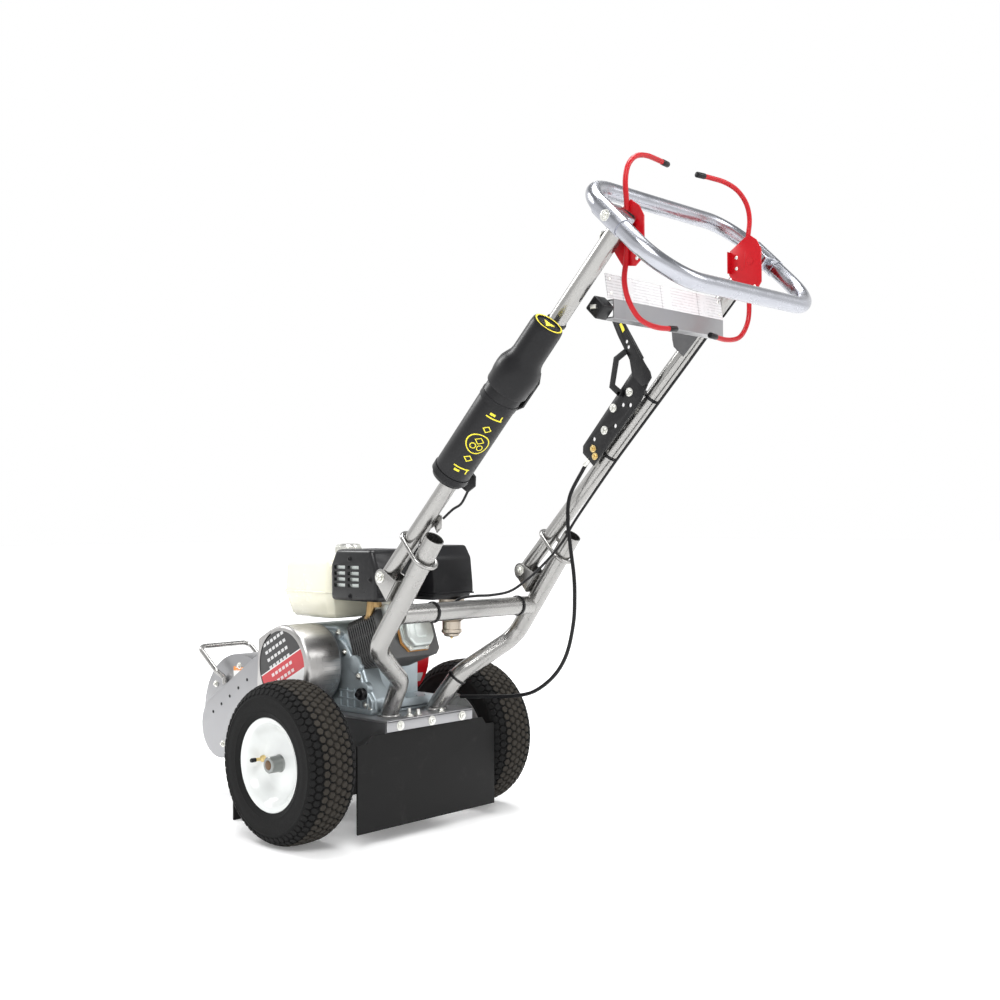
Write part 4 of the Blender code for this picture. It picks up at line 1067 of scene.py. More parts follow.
class GRINDER_OT_handle(bpy.types.Operator):
    """Handle tubes, the bent loop on top of them, the channel and the plate"""

    bl_idname = "grinder.handle"
    bl_label = "Handle"

    def execute(self, context):
        sizes = context.scene.grinder_sizes
        for side, sign in SIDES:
            y = sign * HANDLE_Y
            ends = [on_handle(-0.020, 0, y), on_handle(HANDLE_LENGTH + 0.013, 0, y)]
            tube = pipe(ends, HANDLE_RADIUS, 32, wall=0.002, open_ends=(0, -1))
            done(tube, f"handle_side_{side}", "handle", "tube", "tube", f"handle_tube_{side}")
        corners = [(0.101, LOOP_HALF), (0.101, -LOOP_HALF), (-0.155, -LOOP_HALF), (-0.155, LOOP_HALF)]
        path = rounded([LOOP_AT + RAISED * u + ACROSS * v for u, v in corners], [0.085] * 4, 16)
        done(pipe(path, 0.015, 36, closed=True), "grab_loop", "handle", "loop", "loop", "handle_loop")
        saddles = []
        for side, sign in SIDES:
            saddles.append((on_handle(HANDLE_LENGTH - 0.040, 0.0165, sign * HANDLE_Y), RAISED))
        sleeves = []
        for side, sign in SIDES:
            middle = LOOP_AT + ACROSS * sign * LOOP_HALF
            sleeves.append(pipe([middle - RAISED * 0.032, middle + RAISED * 0.032], 0.0168, 32))
            bridge = block((-0.022, -0.016, -0.0150), (0.022, 0.016, 0.0150), 0.004, 3)
            turn = Matrix((RAISED, ACROSS, RAISED.cross(ACROSS))).transposed().to_4x4()
            bridge.matrix_world = Matrix.Translation(middle - ACROSS * sign * 0.016) @ turn
            sleeves.append(bridge)
            saddles.append((middle + ACROSS * sign * 0.0162, ACROSS * sign))
        done(join(sleeves), "loop_saddles", "handle", "loop", "loop")
        done(hex_bolts(saddles, 0.007, 0.004), "loop_bolts", "handle", "zinc", "zinc")
        self.bar()
        ties = [
            tie_round(on_handle(s, 0, HANDLE_Y), ALONG, HANDLE_RADIUS + 0.0004, sizes.tie)
            for s in (0.335, 0.487)
        ]
        ties.append(tie_round(on_handle(0.620, 0, -HANDLE_Y), ALONG, HANDLE_RADIUS + 0.0004, sizes.tie))
        done(join(ties), "handle_ties", "handle", "plastic", "black")
        inner = HANDLE_RADIUS - HANDLE_Y
        hook = (
            (0.122, -0.010),
            (0.122, 0.012),
            (0.165, 0.012),
            (0.178, -0.014),
            (0.160, -0.030),
            (0.146, -0.028),
            (0.150, -0.014),
            (0.140, -0.010),
        )
        plate = slab(hook, on_handle, inner - 0.002, inner + 0.001, 0.0006)
        done(plate, "ring_keeper", "handle", "tube", "tube")
        foot = ((0.250, -0.008), (0.256, -0.034), (0.276, -0.040), (0.290, -0.028), (0.290, -0.008))
        upper = (
            (0.440, 0.006),
            (0.440, -0.020),
            (0.456, -0.030),
            (0.510, -0.030),
            (0.526, -0.020),
            (0.526, 0.006),
        )
        holders = [
            slab(foot, on_handle, inner - 0.003, inner + 0.003, 0.001),
            slab(upper, on_handle, inner - 0.002, inner + 0.004, 0.001),
        ]
        lead = [
            on_handle(0.262, -0.032, inner),
            on_handle(0.230, -0.036, inner),
            on_handle(0.205, -0.026, inner + 0.002),
        ]
        holders.append(
            pipe(smooth_route([*lead, on_handle(0.176, -0.020, inner + 0.001)], 0.006), 0.0024, 12)
        )
        done(join(holders), "tube_holders", "handle", "plastic", "black")
        return {"FINISHED"}

    def bar(self):
        low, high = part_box("cross_bar")
        x, wall = high.x - AXLE.x, 0.0025
        channel = (
            (x, low.z),
            (x, high.z),
            (low.x - AXLE.x, high.z),
            (low.x - AXLE.x, high.z - wall),
            (x - wall, high.z - wall),
            (x - wall, low.z + wall),
            (low.x - AXLE.x, low.z + wall),
            (low.x - AXLE.x, low.z),
        )
        section = slab(channel, flat_xz, low.y, high.y, 0.0005, 1)
        done(section, "channel", "handle", "deck", "deck", "cross_bar")
        low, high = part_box("label_plate")
        x0, x1 = low.x - AXLE.x, high.x - AXLE.x
        lean = x1 - x0 - 0.002
        sheet = ((x1, low.z), (x1 - lean, high.z), (x0, high.z), (x1 - 0.002, low.z))
        done(
            slab(sheet, flat_xz, low.y, high.y, 0.0004, 1),
            "sign",
            "handle",
            "label",
            "white",
            "label_plate",
        )
        rivets = []
        for y in (low.y + 0.010, high.y - 0.010):
            for share in (0.22, 0.80):
                spot = at(x1 - lean * share, y, low.z + (high.z - low.z) * share)
                rivets.append((spot, Vector((1, 0, 0.14))))
        pattern = lathe(
            ((0.0, 0.0018), (0.0026, 0.0012), (0.0034, -0.0004), (0.0, -0.0004)), (0, 0, 0), UP, 16
        )
        done(spread(pattern, [stand(*spot) for spot in rivets]), "sign_rivets", "handle", "zinc", "zinc")
        y = HANDLE_Y - HANDLE_RADIUS + 0.001
        gusset = (
            (0.598, -0.012),
            (0.598, 0.018),
            (0.606, 0.030),
            (0.632, 0.060),
            (0.640, 0.056),
            (0.700, -0.012),
        )
        plate = slab(gusset, on_handle, y - 0.003, y, 0.0006)
        # The gusset takes the deck paint darkened to 30% as painted shade.
        done(plate, "gusset", "handle", "deck_painted_shade", "deck")


class GRINDER_OT_document_tube(bpy.types.Operator):
    """The black tube for papers, its cap and its two clamps"""

    bl_idname = "grinder.document_tube"
    bl_label = "Document tube"

    def execute(self, context):
        start = CANISTER
        body = (
            (0.0, 0.2845),
            (0.026, 0.2845),
            (0.0300, 0.286),
            (0.0325, 0.292),
            (0.0340, 0.300),
            (0.0340, 0.4930),
            (0.0335, 0.4940),
            (0.0335, 0.5400),
            (0.0310, 0.5400),
            (0.0310, 0.2880),
            (0.0, 0.2880),
        )
        shell = lathe(body, start, ALONG, 72)
        done(shell, "paper_tube", "handle", "canister", "black", "document_tube")
        cap = [
            (0.0348, 0.494),
            (0.0375, 0.4945),
            (0.0382, 0.4965),
            (0.0384, 0.508),
            (0.0398, 0.518),
            (0.0400, 0.530),
            (0.0388, 0.540),
            (0.0345, 0.550),
            (0.0308, 0.558),
            (0.0295, 0.566),
            (0.0290, 0.620),
            (0.0280, 0.629),
            (0.0262, 0.6318),
            (0.0220, 0.6318),
            (0.0215, 0.6300),
            (0.0, 0.6300),
            (0.0, 0.6270),
            (0.0258, 0.6270),
            (0.0258, 0.560),
            (0.0300, 0.549),
            (0.0348, 0.541),
        ]
        crown = lathe(cap, start, ALONG, 72, True)
        done(crown, "paper_cap", "cap", "plastic", "black", "document_cap")
        ring = oblong(0.0228, 0.6316, 0.0256, 0.6322)
        hoop = lathe(ring, start, ALONG, 60, True)
        disc = lathe(oblong(0.0, 0.6302, 0.0165, 0.6308), start, ALONG, 48)
        points = []
        for k in range(6):
            reach = 0.013 * (1, 0.45)[k % 2]
            points.append((reach * math.cos(k * math.pi / 3), reach * math.sin(k * math.pi / 3)))

        def on_cap(u, v, w):
            return start + RAISED * u + ACROSS * v + ALONG * (0.6309 + w)

        star = slab(points, on_cap, 0, 0.0004)
        done(join([hoop, star]), "cap_ring", "cap", "yellow", "black")
        done(disc, "cap_disc", "cap", "plastic", "black")
        clamps = []
        for s in (0.300, 0.470):
            centre = start + ALONG * s
            strap = oblong(0.0342, -0.006, 0.0352, 0.006)
            clamps.append(lathe(strap, centre, ALONG, 60, True))
            arm = block((-0.006, -0.0015, 0.0), (0.006, 0.0015, 0.030), 0.0005)
            tube_side = on_handle(s, 0, -HANDLE_Y)
            way = (tube_side - centre).normalized()
            arm.matrix_world = stand(centre + way * 0.0335, way, 0.0)
            clamps.append(arm)
        done(join(clamps), "paper_tube_clamps", "handle", "plastic", "black")
        return {"FINISHED"}


class GRINDER_OT_lock_rings(bpy.types.Operator):
    """Bent rod rings that lock the handle to the uprights"""

    bl_idname = "grinder.lock_rings"
    bl_label = "Lock rings"

    def execute(self, context):
        ring_at, slack, bar = 0.098, 0.0010, 0.0040
        along = (ring_at - (UPRIGHT_ELBOW - PIVOT).dot(ALONG)) / UPRIGHT_RUN.dot(ALONG)
        raised = (UPRIGHT_ELBOW + UPRIGHT_RUN * along - PIVOT).dot(RAISED)
        tilt = UPRIGHT_RUN.angle(ALONG)
        across = UPRIGHT_RADIUS / math.cos(tilt) + slack * 1.8 + bar
        outline = two_circle_outline((0, 0), HANDLE_RADIUS + slack + bar, (raised, 0), across, 14)
        for side, sign in SIDES:
            path = [on_handle(ring_at, u, sign * HANDLE_Y + v) for u, v in outline]
            ring = pipe(path, bar, 16, closed=True)
            done(ring, f"rod_ring_{side}", f"ring_{side}", "tube", "tube", f"lock_ring_{side}")
        return {"FINISHED"}


class GRINDER_OT_levers(bpy.types.Operator):
    """Presence levers, brake lever with its bracket, switch and throttle"""

    bl_idname = "grinder.levers"
    bl_label = "Levers and controls"

    def execute(self, context):
        for side, sign in SIDES:
            self.presence(side, sign)
        self.brake()
        self.switch()
        self.throttle()
        return {"FINISHED"}

    def presence(self, side, sign):
        hub = Vector(JOINTS[f"presence_{side}_press"]["pos_m"])
        y = abs(hub.y)

        def lay(u, v, w):
            return Vector((hub.x + u, sign * w, hub.z + v))

        plate = (
            (-0.022, -0.056),
            (0.004, -0.060),
            (0.014, -0.052),
            (0.022, -0.040),
            (0.022, 0.020),
            (0.012, 0.038),
            (-0.004, 0.050),
            (-0.044, 0.024),
            (-0.046, -0.020),
        )
        cheek = slab(plate, lay, y - 0.0022, y + 0.0012, 0.0006)
        lip = block(lay(-0.045, -0.018, y - 0.010), lay(-0.043, 0.022, y + 0.001), 0.0004, 1)
        route = (
            (-0.026, 0.044, 0.138),
            (-0.021, 0.080, 0.1380),
            (-0.016, 0.118, 0.1362),
            (-0.012, 0.152, 0.127),
            (-0.009, 0.176, 0.107),
            (-0.008, 0.185, 0.080),
            (-0.009, 0.181, 0.045),
            (-0.010, 0.1770, 0.000),
            (-0.010, 0.181, -0.045),
            (-0.011, 0.186, -0.080),
            (-0.010, 0.180, -0.108),
            (-0.009, 0.163, -0.131),
            (-0.008, 0.140, -0.145),
            (-0.007, 0.100, -0.151),
            (-0.006, 0.051, -0.148),
        )
        path = smooth_route([lay(u, v, w) for u, w, v in route], 0.006)
        bar = pipe(path, 0.0045, 16)
        seam = lathe(
            ((0.0, -0.003), (0.006, -0.003), (0.0068, 0.0), (0.006, 0.003), (0.0, 0.003)), hub, ACROSS, 24
        )
        done(
            join([cheek, lip, bar, seam]),
            f"red_lever_{side}",
            f"presence_{side}",
            "red",
            "red",
            f"presence_lever_{side}",
        )
        grips = []
        for end, start in ((path[0], path[1]), (path[-1], path[-2])):
            way = (end - start).normalized()
            grips.append(rod(end - way * 0.020, end + way * 0.001, 0.0052, 0.001, 16))
        done(join(grips), f"lever_tips_{side}", f"presence_{side}", "plastic", "red")
        rivets = [
            (lay(u, v, y - 0.0022), ACROSS * -sign)
            for u, v in ((-0.030, 0.010), (-0.030, -0.010), (0.008, -0.048))
        ]
        rivets += [
            (lay(u, v, y + 0.0012), ACROSS * sign)
            for u, v in ((-0.030, 0.010), (-0.030, -0.010), (0.008, -0.048))
        ]
        pattern = lathe(
            ((0.0, 0.0018), (0.0022, 0.0013), (0.0036, -0.0002), (0.0, -0.0002)), (0, 0, 0), UP, 16
        )
        done(
            spread(pattern, [stand(*spot) for spot in rivets]),
            f"lever_rivets_{side}",
            f"presence_{side}",
            "zinc",
            "red",
        )

    def brake(self):
        low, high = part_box("brake_bracket")
        outline = (
            (0.305, -0.002),
            (0.475, -0.002),
            (0.510, 0.008),
            (0.526, 0.020),
            (0.532, 0.036),
            (0.529, 0.047),
            (0.518, 0.054),
            (0.316, 0.046),
            (0.305, 0.036),
        )
        holes = [
            rod(on_handle(s, v, low.y - 0.01), on_handle(s, v, high.y + 0.01), 0.0042)
            for s, v in ((0.345, 0.034), (0.400, 0.012), (0.4545, 0.012), (0.443, 0.026))
        ]
        plate = cut(slab(outline, on_handle, low.y, high.y), *holes)
        done(soften(plate, 0.0005, 2), "brake_plate", "handle", "black_metal", "black_metal", "brake_bracket")
        spots = [
            (on_handle(s, v, low.y), -ACROSS) for s, v in ((0.472, 0.031), (0.423, 0.040), (0.376, 0.026))
        ]
        done(hex_bolts(spots, 0.0065, 0.0045), "brake_bolts", "handle", "zinc", "zinc")
        spots = [(on_handle(0.330, 0.022, low.y), -ACROSS), (on_handle(0.322, 0.008, low.y), -ACROSS)]
        done(hex_bolts(spots, 0.0055, 0.0045), "brake_gold_bolts", "handle", "gold_zinc", "zinc")
        bolts = [(on_handle(s, 0.006, high.y), ACROSS) for s in (0.335, 0.445)]
        done(hex_bolts(bolts, 0.0055, 0.004), "bracket_bolts", "handle", "zinc", "zinc")
        bend = [(0.529, 0.094), (0.501, 0.103), (0.450, 0.070), (0.452, 0.040)]
        inside = [(0.466, 0.040), (0.463, 0.064), (0.503, 0.089), (0.527, 0.082)]
        strap = slab(bend + inside, on_handle, low.y - 0.0100, low.y - 0.0065, 0.0007)
        post = rod(
            on_handle(0.457, 0.043, low.y - 0.010), on_handle(0.457, 0.043, low.y + 0.001), 0.005, 0.0006
        )
        done(join([strap, post]), "brake_strap", "handle", "black_metal", "black_metal")
        lever = (
            (0.502, 0.012),
            (0.512, 0.006),
            (0.528, 0.008),
            (0.534, 0.018),
            (0.538, 0.040),
            (0.546, 0.072),
            (0.556, 0.104),
            (0.569, 0.150),
            (0.569, 0.160),
            (0.561, 0.168),
            (0.548, 0.160),
            (0.536, 0.128),
            (0.520, 0.072),
            (0.502, 0.046),
        )
        low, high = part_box("brake_lever")
        slots = [
            rod(on_handle(s, v, low.y - 0.01), on_handle(s, v, high.y + 0.01), 0.004)
            for s, v in ((0.536, 0.092), (0.541, 0.103))
        ]
        arm = cut(slab(lever, on_handle, low.y, high.y), *slots)
        fold = [on_handle(s, v, (low.y + high.y) / 2) for s, v in ((0.541, 0.050), (0.565, 0.148))]
        fold = rod(*fold, 0.0034, 0.0006, 16)
        done(
            join([soften(arm, 0.0006, 2), fold]),
            "brake_arm",
            "brake",
            "black_metal",
            "black_metal",
            "brake_lever",
        )
        mark = ((0.548, 0.122), (0.555, 0.122), (0.562, 0.138), (0.555, 0.140))
        done(
            slab(mark, on_handle, low.y - 0.0004, low.y + 0.0004),
            "brake_mark",
            "brake",
            "yellow",
            "black_metal",
        )

    def switch(self):
        half = 0.014, 0.015, 0.015
        body = block(-Vector(half), Vector(half), 0.003, 3)
        turn = Matrix((ALONG, ACROSS, RAISED)).transposed().to_4x4()
        body.matrix_world = Matrix.Translation(on_handle(0.681, -0.034, -0.162)) @ turn
        done(join([body]), "switch_case", "handle", "plastic", "black", "switch_box")
        knob = block((-0.006, -0.0036, -0.001), (0.006, 0.0036, 0.0045), 0.001, 2)
        knob.matrix_world = stand(on_handle(0.681, -0.034, -0.162) + ACROSS * -0.015, -ACROSS)
        done(join([knob]), "switch_key", "handle", "zinc", "black")

    def throttle(self):
        hub = on_handle(0.700, -0.002, 0.0)
        arm = [
            (s, v)
            for s, v in (
                *arc((0.700, -0.002), 0.0088, 100, 260, 10),
                (0.744, -0.0102),
                *arc((0.744, -0.006), 0.0046, -80, 80, 6),
            )
        ]
        blade = slab(arm, on_handle, 0.2156, 0.2186, 0.0007)
        knob = [on_handle(0.744, -0.006, y) for y in (0.2166, 0.2342)]
        grip = soften(rod(*knob, 0.008, sides=24), 0.0022, 3, 40)
        done(join([blade, grip]), "throttle_arm", "throttle", "plastic", "black", "throttle_lever")
        spot = hub + ACROSS * 0.2190
        bolt = hex_bolts([(spot, ACROSS)], 0.0050, 0.0030)
        done(bolt, "throttle_bolt", "throttle", "zinc", "zinc")


LEAN = Vector((math.cos(math.radians(20)), 0, math.sin(math.radians(20))))
LEAN_UP = Vector((-LEAN.z, 0, LEAN.x))


def on_cylinder(v, y, w):
    """A place on the slanted cylinder: across it, along Y, and out along its bore from the crank."""
    return Vector((CRANK.x, y, CRANK.z)) + LEAN * w + LEAN_UP * v


class GRINDER_OT_engine(bpy.types.Operator):
    """Crankcase, finned cylinder, valve cover, carburettor, tank, covers and starter"""

    bl_idname = "grinder.engine"
    bl_label = "Engine"

    def execute(self, context):
        self.crankcase()
        self.cylinder(context.scene.grinder_sizes)
        self.tank()
        self.muffler()
        self.intake()
        self.starter()
        return {"FINISHED"}

    def crankcase(self):
        low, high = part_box("crankcase")
        y0, y1 = low.y, high.y
        outline = (
            (-0.205, low.z),
            (0.070, low.z),
            (0.070, 0.276),
            (0.040, 0.312),
            (0.030, 0.335),
            (-0.020, 0.400),
            (-0.060, 0.425),
            (-0.170, 0.425),
            (-0.205, 0.390),
        )
        body = slab(outline, flat_xz, y0 + 0.012, y1 - 0.003, 0.006, 3)
        inset = [(x * 0.94 + 0.002, 0.262 + (z - 0.262) * 0.90) for x, z in outline]
        cover = slab(inset, flat_xz, y0 + 0.004, y0 + 0.016, 0.004, 3)
        body = cut(body, block(at(0.008, -0.040, 0.272), at(0.110, 0.120, 0.420)))
        parts = [body, cover]
        foot = oblong(-0.205, low.z, 0.070, low.z + 0.012)
        parts.append(slab(foot, flat_xz, y0, y1, 0.003, 2))
        for x in (-0.190, -0.150, -0.034, -0.012, 0.010, 0.032, 0.054):
            rib = (
                (x - 0.0022, low.z + 0.006),
                (x + 0.0022, low.z + 0.006),
                (x + 0.0022, 0.300 - 0.2 * abs(x)),
                (x - 0.0022, 0.292 - 0.2 * abs(x)),
            )
            parts.append(slab(rib, flat_xz, y0 + 0.001, y0 + 0.020, 0.001))
        for z in (0.272, 0.288):
            parts.append(block(at(-0.040, y0 + 0.001, z), at(0.040, y0 + 0.014, z + 0.0045), 0.001))
        oval = two_circle_outline((-0.118, 0.388), 0.016, (-0.066, 0.400), 0.016, 12)
        parts.append(slab(oval, flat_xz, y0 + 0.0005, y0 + 0.010, 0.003, 2))
        knobs = (0.012, 0.348, 0.019), (0.044, 0.300, 0.013), (-0.184, 0.400, 0.010), (-0.045, 0.405, 0.010)
        for x, z, r in knobs:
            boss = rod(at(x, y0 + 0.001, z), at(x, y0 + 0.016, z), r, 0.002, 32)
            parts.append(boss)
        for y in (y0 + 0.030, y0 + 0.055, 0.0, 0.035, 0.060):
            parts.append(block(at(0.066, y - 0.002, 0.250), at(0.0695, y + 0.002, 0.276), 0.0008))
        done(join(parts), "case", "chassis", "cast", "cast", "crankcase")
        spots = [
            (at(x, y0 + 0.003, z), -ACROSS) for x, z in ((-0.186, 0.268), (-0.186, 0.384), (-0.160, 0.412))
        ]
        spots += [
            (at(x, y0 + 0.003, z), -ACROSS)
            for x, z in ((-0.040, 0.412), (0.026, 0.324), (0.050, 0.266), (-0.020, 0.372))
        ]
        spots += [(at(x, y, low.z + 0.012), UP) for x in (-0.196, 0.060) for y in (y0 + 0.008, y1 - 0.008)]
        done(hex_bolts(spots, 0.0055, 0.0042), "case_bolts", "chassis", "zinc", "zinc")
        low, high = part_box("oil_cap")
        middle = (low + high) / 2
        foot = Vector((middle.x, high.y, middle.z))
        cap = (
            (0.0, 0.0),
            (0.0095, 0.0),
            (0.0095, 0.004),
            (0.0130, 0.004),
            (0.0130, 0.012),
            (0.0115, 0.0142),
            (0.0060, 0.0150),
            (0.0060, 0.0205),
            (0.0050, 0.0216),
            (0.0, 0.0216),
        )
        done(lathe(cap, foot, -ACROSS, 40), "dipstick", "chassis", "plastic", "black", "oil_cap")

    def cylinder(self, sizes):
        y0, y1 = -0.088, 0.072
        w0, w1 = 0.106, 0.202
        fins = []
        count = int((w1 - w0) / sizes.fin_pitch)
        barrel = [(v, y) for v, y in arc((0.004, -0.002), 0.046, 0, 345, 23)]
        fins.append(slab(barrel, lambda u, v, w: on_cylinder(u, v, w), w0 - 0.008, w1))
        frame_outline = (
            (-0.050, y0 + 0.012),
            (-0.038, y0),
            (0.046, y0),
            (0.058, y0 + 0.012),
            (0.058, y1 - 0.012),
            (0.046, y1),
            (-0.038, y1),
            (-0.050, y1 - 0.012),
        )
        for i in range(count + 1):
            w = w0 + i * sizes.fin_pitch
            shrink = 1.0
            outline = [
                (0.004 + (v - 0.004) * shrink, -0.003 + (y + 0.003) * shrink) for v, y in frame_outline
            ]
            fins.append(slab(outline, on_cylinder, w, w + 0.0022, 0.0004, 1))
        fins.append(slab(frame_outline, on_cylinder, w1 - 0.0045, w1, 0.001))
        for v in (-0.026, 0.012, 0.040):
            fins.append(slab(
                oblong(v, y0 + 0.003, v + 0.006, y1 - 0.003),
                on_cylinder,
                w0,
                w1 - 0.002,
            ))
        done(join(fins), "finned_cylinder", "chassis", "fin_metal", "cast", "cylinder")
        flange = (
            (-0.022, -0.042),
            (0.036, -0.042),
            (0.052, -0.022),
            (0.052, 0.022),
            (0.036, 0.042),
            (-0.022, 0.042),
            (-0.038, 0.022),
            (-0.038, -0.022),
        )
        seal = slab([(v * 0.96, y * 0.96) for y, v in flange], on_cylinder, 0.2023, 0.2050)
        done(seal, "cover_gasket", "chassis", "gasket", "cast")
        cover = (
            (-0.018, -0.038),
            (0.030, -0.038),
            (0.046, -0.018),
            (0.046, 0.018),
            (0.030, 0.038),
            (-0.018, 0.038),
            (-0.033, 0.018),
            (-0.033, -0.018),
        )
        base = slab([(v, y) for y, v in cover], on_cylinder, 0.2049, 0.2085, 0.0008)
        dome = slab([(v * 0.90, 0.0005 + y * 0.90) for y, v in cover], on_cylinder, 0.2075, 0.2285, 0.006, 4)
        boss = slab([(v * 0.45, 0.003 + y * 0.45) for y, v in cover], on_cylinder, 0.2240, 0.2316, 0.003, 3)
        done(join([base, dome, boss]), "rocker_cover", "chassis", "bright_cast", "cast", "valve_cover")
        spots = [
            (on_cylinder(v, y, 0.2085), LEAN)
            for v, y in ((0.033, -0.016), (0.033, 0.029), (-0.033, -0.016), (-0.033, 0.029))
        ]
        done(hex_bolts(spots, 0.0050, 0.0036), "cover_bolts", "chassis", "zinc", "zinc")
        plug = [on_cylinder(0.018, -0.050, 0.190), on_cylinder(0.024, -0.062, 0.216)]
        done(rod(*plug, 0.0062, 0.001, 18), "plug_cap", "chassis", "soft_black", "black")

    def tank(self):
        low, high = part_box("fuel_tank")
        front, rear = -0.205, -0.036
        outline = (
            (front, low.y + 0.012),
            (front + 0.014, low.y),
            (rear - 0.014, low.y),
            (rear, low.y + 0.012),
            (rear, high.y - 0.012),
            (rear - 0.014, high.y),
            (front + 0.014, high.y),
            (front, high.y - 0.012),
        )
        levels = (
            (0.4410, 0.72),
            (0.4430, 0.80),
            (0.4510, 0.87),
            (0.4980, 0.985),
            (0.5040, 0.975),
            (0.5520, 0.955),
            (0.5660, 0.915),
            (0.5735, 0.850),
            (0.5750, 0.74),
        )
        shell = apply_modifier(
            loft(outline, flat_xy, levels), "BEVEL", width=0.003, segments=2, limit_method="ANGLE"
        )
        seam = slab(outline, flat_xy, 0.4970, 0.5005, 0.001)
        done(join([shell, seam]), "tank_shell", "chassis", "cream", "cream", "fuel_tank", angle=48)
        low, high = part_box("fuel_cap")
        middle = (low + high) / 2
        radius, tall = (high.x - low.x) / 2, high.z - low.z - 0.007
        profile = (
            (0.0, 0.0),
            (radius * 0.80, 0.0),
            (radius * 0.80, tall * 0.16),
            (radius * 0.965, tall * 0.18),
            (radius * 0.965, tall * 0.78),
            (radius * 0.90, tall * 0.92),
            (radius * 0.72, tall),
            (0.0, tall),
        )
        foot = Vector((middle.x, middle.y, low.z))
        crown = lathe(profile, foot, UP, 72)
        grip = block((-0.0016, -0.0012, -tall * 0.28), (0.0010, 0.0012, tall * 0.28), 0.0005, 1)
        places = []
        for i in range(30):
            turn = math.tau * i / 30
            spot = foot + Vector((math.cos(turn), math.sin(turn), 0)) * (radius * 0.97) + UP * tall * 0.48
            places.append(Matrix.Translation(spot) @ Matrix.Rotation(turn, 4, "Z"))
        done(join([crown, spread(grip, places)]), "filler_crown", "filler_cap", "zinc", "zinc", "fuel_cap")
        neck = ((radius * 0.70, 0.0), (radius * 0.98, 0.0), (radius * 0.92, 0.002), (radius * 0.70, 0.002))
        done(lathe(neck, foot - UP * 0.0016, UP, 60, True), "filler_neck", "chassis", "cream", "cream")

    def muffler(self):
        low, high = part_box("muffler_guard")
        outline = (
            (-0.028, 0.484),
            (0.122, 0.484),
            (0.122, 0.545),
            (0.104, 0.592),
            (-0.010, 0.592),
            (-0.028, 0.560),
        )
        shell = soften(slab(outline, flat_xz, low.y + 0.0005, high.y), 0.010, 4, 25)
        slots, glow = [], []
        for row in range(4):
            for x0, x1 in ((-0.014, 0.022), (0.030, 0.066)):
                z = 0.5130 + row * 0.0125
                slots.append(block(at(x0, low.y - 0.004, z), at(x1, low.y + 0.008, z + 0.0072)))
        glow.append(block(at(-0.016, low.y + 0.0070, 0.510), at(0.068, low.y + 0.012, 0.562)))
        for i in range(6):
            y = low.y + 0.014 + i * 0.016
            slots.append(block(at(0.000, y, 0.586), at(0.092, y + 0.0075, 0.600)))
        for i in range(5):
            z = 0.498 + i * 0.010
            slots.append(block(at(0.118, low.y + 0.016, z), at(0.126, high.y - 0.016, z + 0.0046)))
        guard = cut(shell, *slots)
        done(guard, "muffler_shield", "chassis", "black_metal", "black_metal", "muffler_guard")
        done(join(glow), "muffler_box", "chassis", "bright_cast", "cast")
        spots = [
            (at(x, low.y + 0.0008, z), -ACROSS) for x, z in ((0.037, 0.494), (0.037, 0.572), (0.102, 0.530))
        ]
        done(hex_bolts(spots, 0.0046, 0.003), "shield_bolts", "chassis", "black_metal", "black_metal")
        low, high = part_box("exhaust_pipe")
        middle = (low + high) / 2
        radius = (high.x - low.x) / 2
        neck = rod((middle.x, middle.y, low.z), (middle.x, middle.y, high.z), radius - 0.001, 0, 36)
        bend = rounded(
            [at(0.052, -0.078, 0.4840), at(0.050, -0.080, 0.452), at(0.028, -0.072, 0.436)],
            (0, 0.016, 0),
            8,
        )
        neck = join([neck, pipe(bend, 0.0095, 20)])
        stay = slab(
            ((0.062, 0.476), (0.100, 0.476), (0.098, 0.430), (0.080, 0.425)),
            flat_xz,
            -0.066,
            -0.063,
            0.0006,
        )
        done(stay, "exhaust_stay", "chassis", "bright_cast", "cast")
        collar = oblong(radius * 0.8, 0.0, radius, 0.0035)
        ring = lathe(collar, (middle.x, middle.y, low.z + 0.003), UP, 36, True)
        done(join([neck, ring]), "exhaust_neck", "chassis", "pipe", "pipe", "exhaust_pipe")

    def intake(self):
        low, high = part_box("air_cleaner")
        seam = 0.494
        lower = (
            (0.052, 0.4835),
            (0.146, 0.4835),
            (0.150, seam + 0.001),
            (0.052, seam + 0.001),
        )
        upper = (
            (0.0502, seam + 0.001),
            (0.1572, seam + 0.001),
            (0.1560, 0.518),
            (0.150, 0.572),
            (0.134, 0.598),
            (0.072, 0.598),
            (0.0502, 0.580),
        )
        base = soften(slab(lower, flat_xz, low.y + 0.004, high.y - 0.004), 0.002, 2, 25)
        lid = soften(slab(upper, flat_xz, low.y + 0.001, high.y), 0.006, 4, 25)
        lip = slab(
            ((0.0505, seam), (0.1578, seam), (0.1575, seam + 0.0035), (0.0505, seam + 0.0035)),
            flat_xz,
            low.y,
            high.y,
            0.001,
        )
        done(join([base, lid, lip]), "air_box", "chassis", "plastic", "black", "air_cleaner")
        low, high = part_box("carburettor")
        middle = (low + high) / 2
        foot = Vector((middle.x, middle.y, 0))
        profile = (
            (0.0, 0.402),
            (0.013, 0.402),
            (0.0165, 0.404),
            (0.018, 0.408),
            (0.022, 0.411),
            (0.022, 0.417),
            (0.0200, 0.418),
            (0.0200, 0.434),
            (0.0225, 0.436),
            (0.0278, 0.439),
            (0.0278, 0.445),
            (0.0262, 0.446),
            (0.0262, 0.474),
            (0.0278, 0.476),
            (0.0278, 0.4824),
            (0.0, 0.4824),
        )
        bowl = lathe(profile, foot, UP, 48)
        done(bowl, "carburettor_bowl", "chassis", "bronze", "bronze", "carburettor")
        spots = [
            (foot + Vector((0, 0, 0.402)), -UP),
            (foot + Vector((0.020, -0.019, 0.462)), Vector((0.7, -0.7, 0))),
        ]
        spots.append((foot + Vector((0.0262, 0.006, 0.454)), AHEAD))
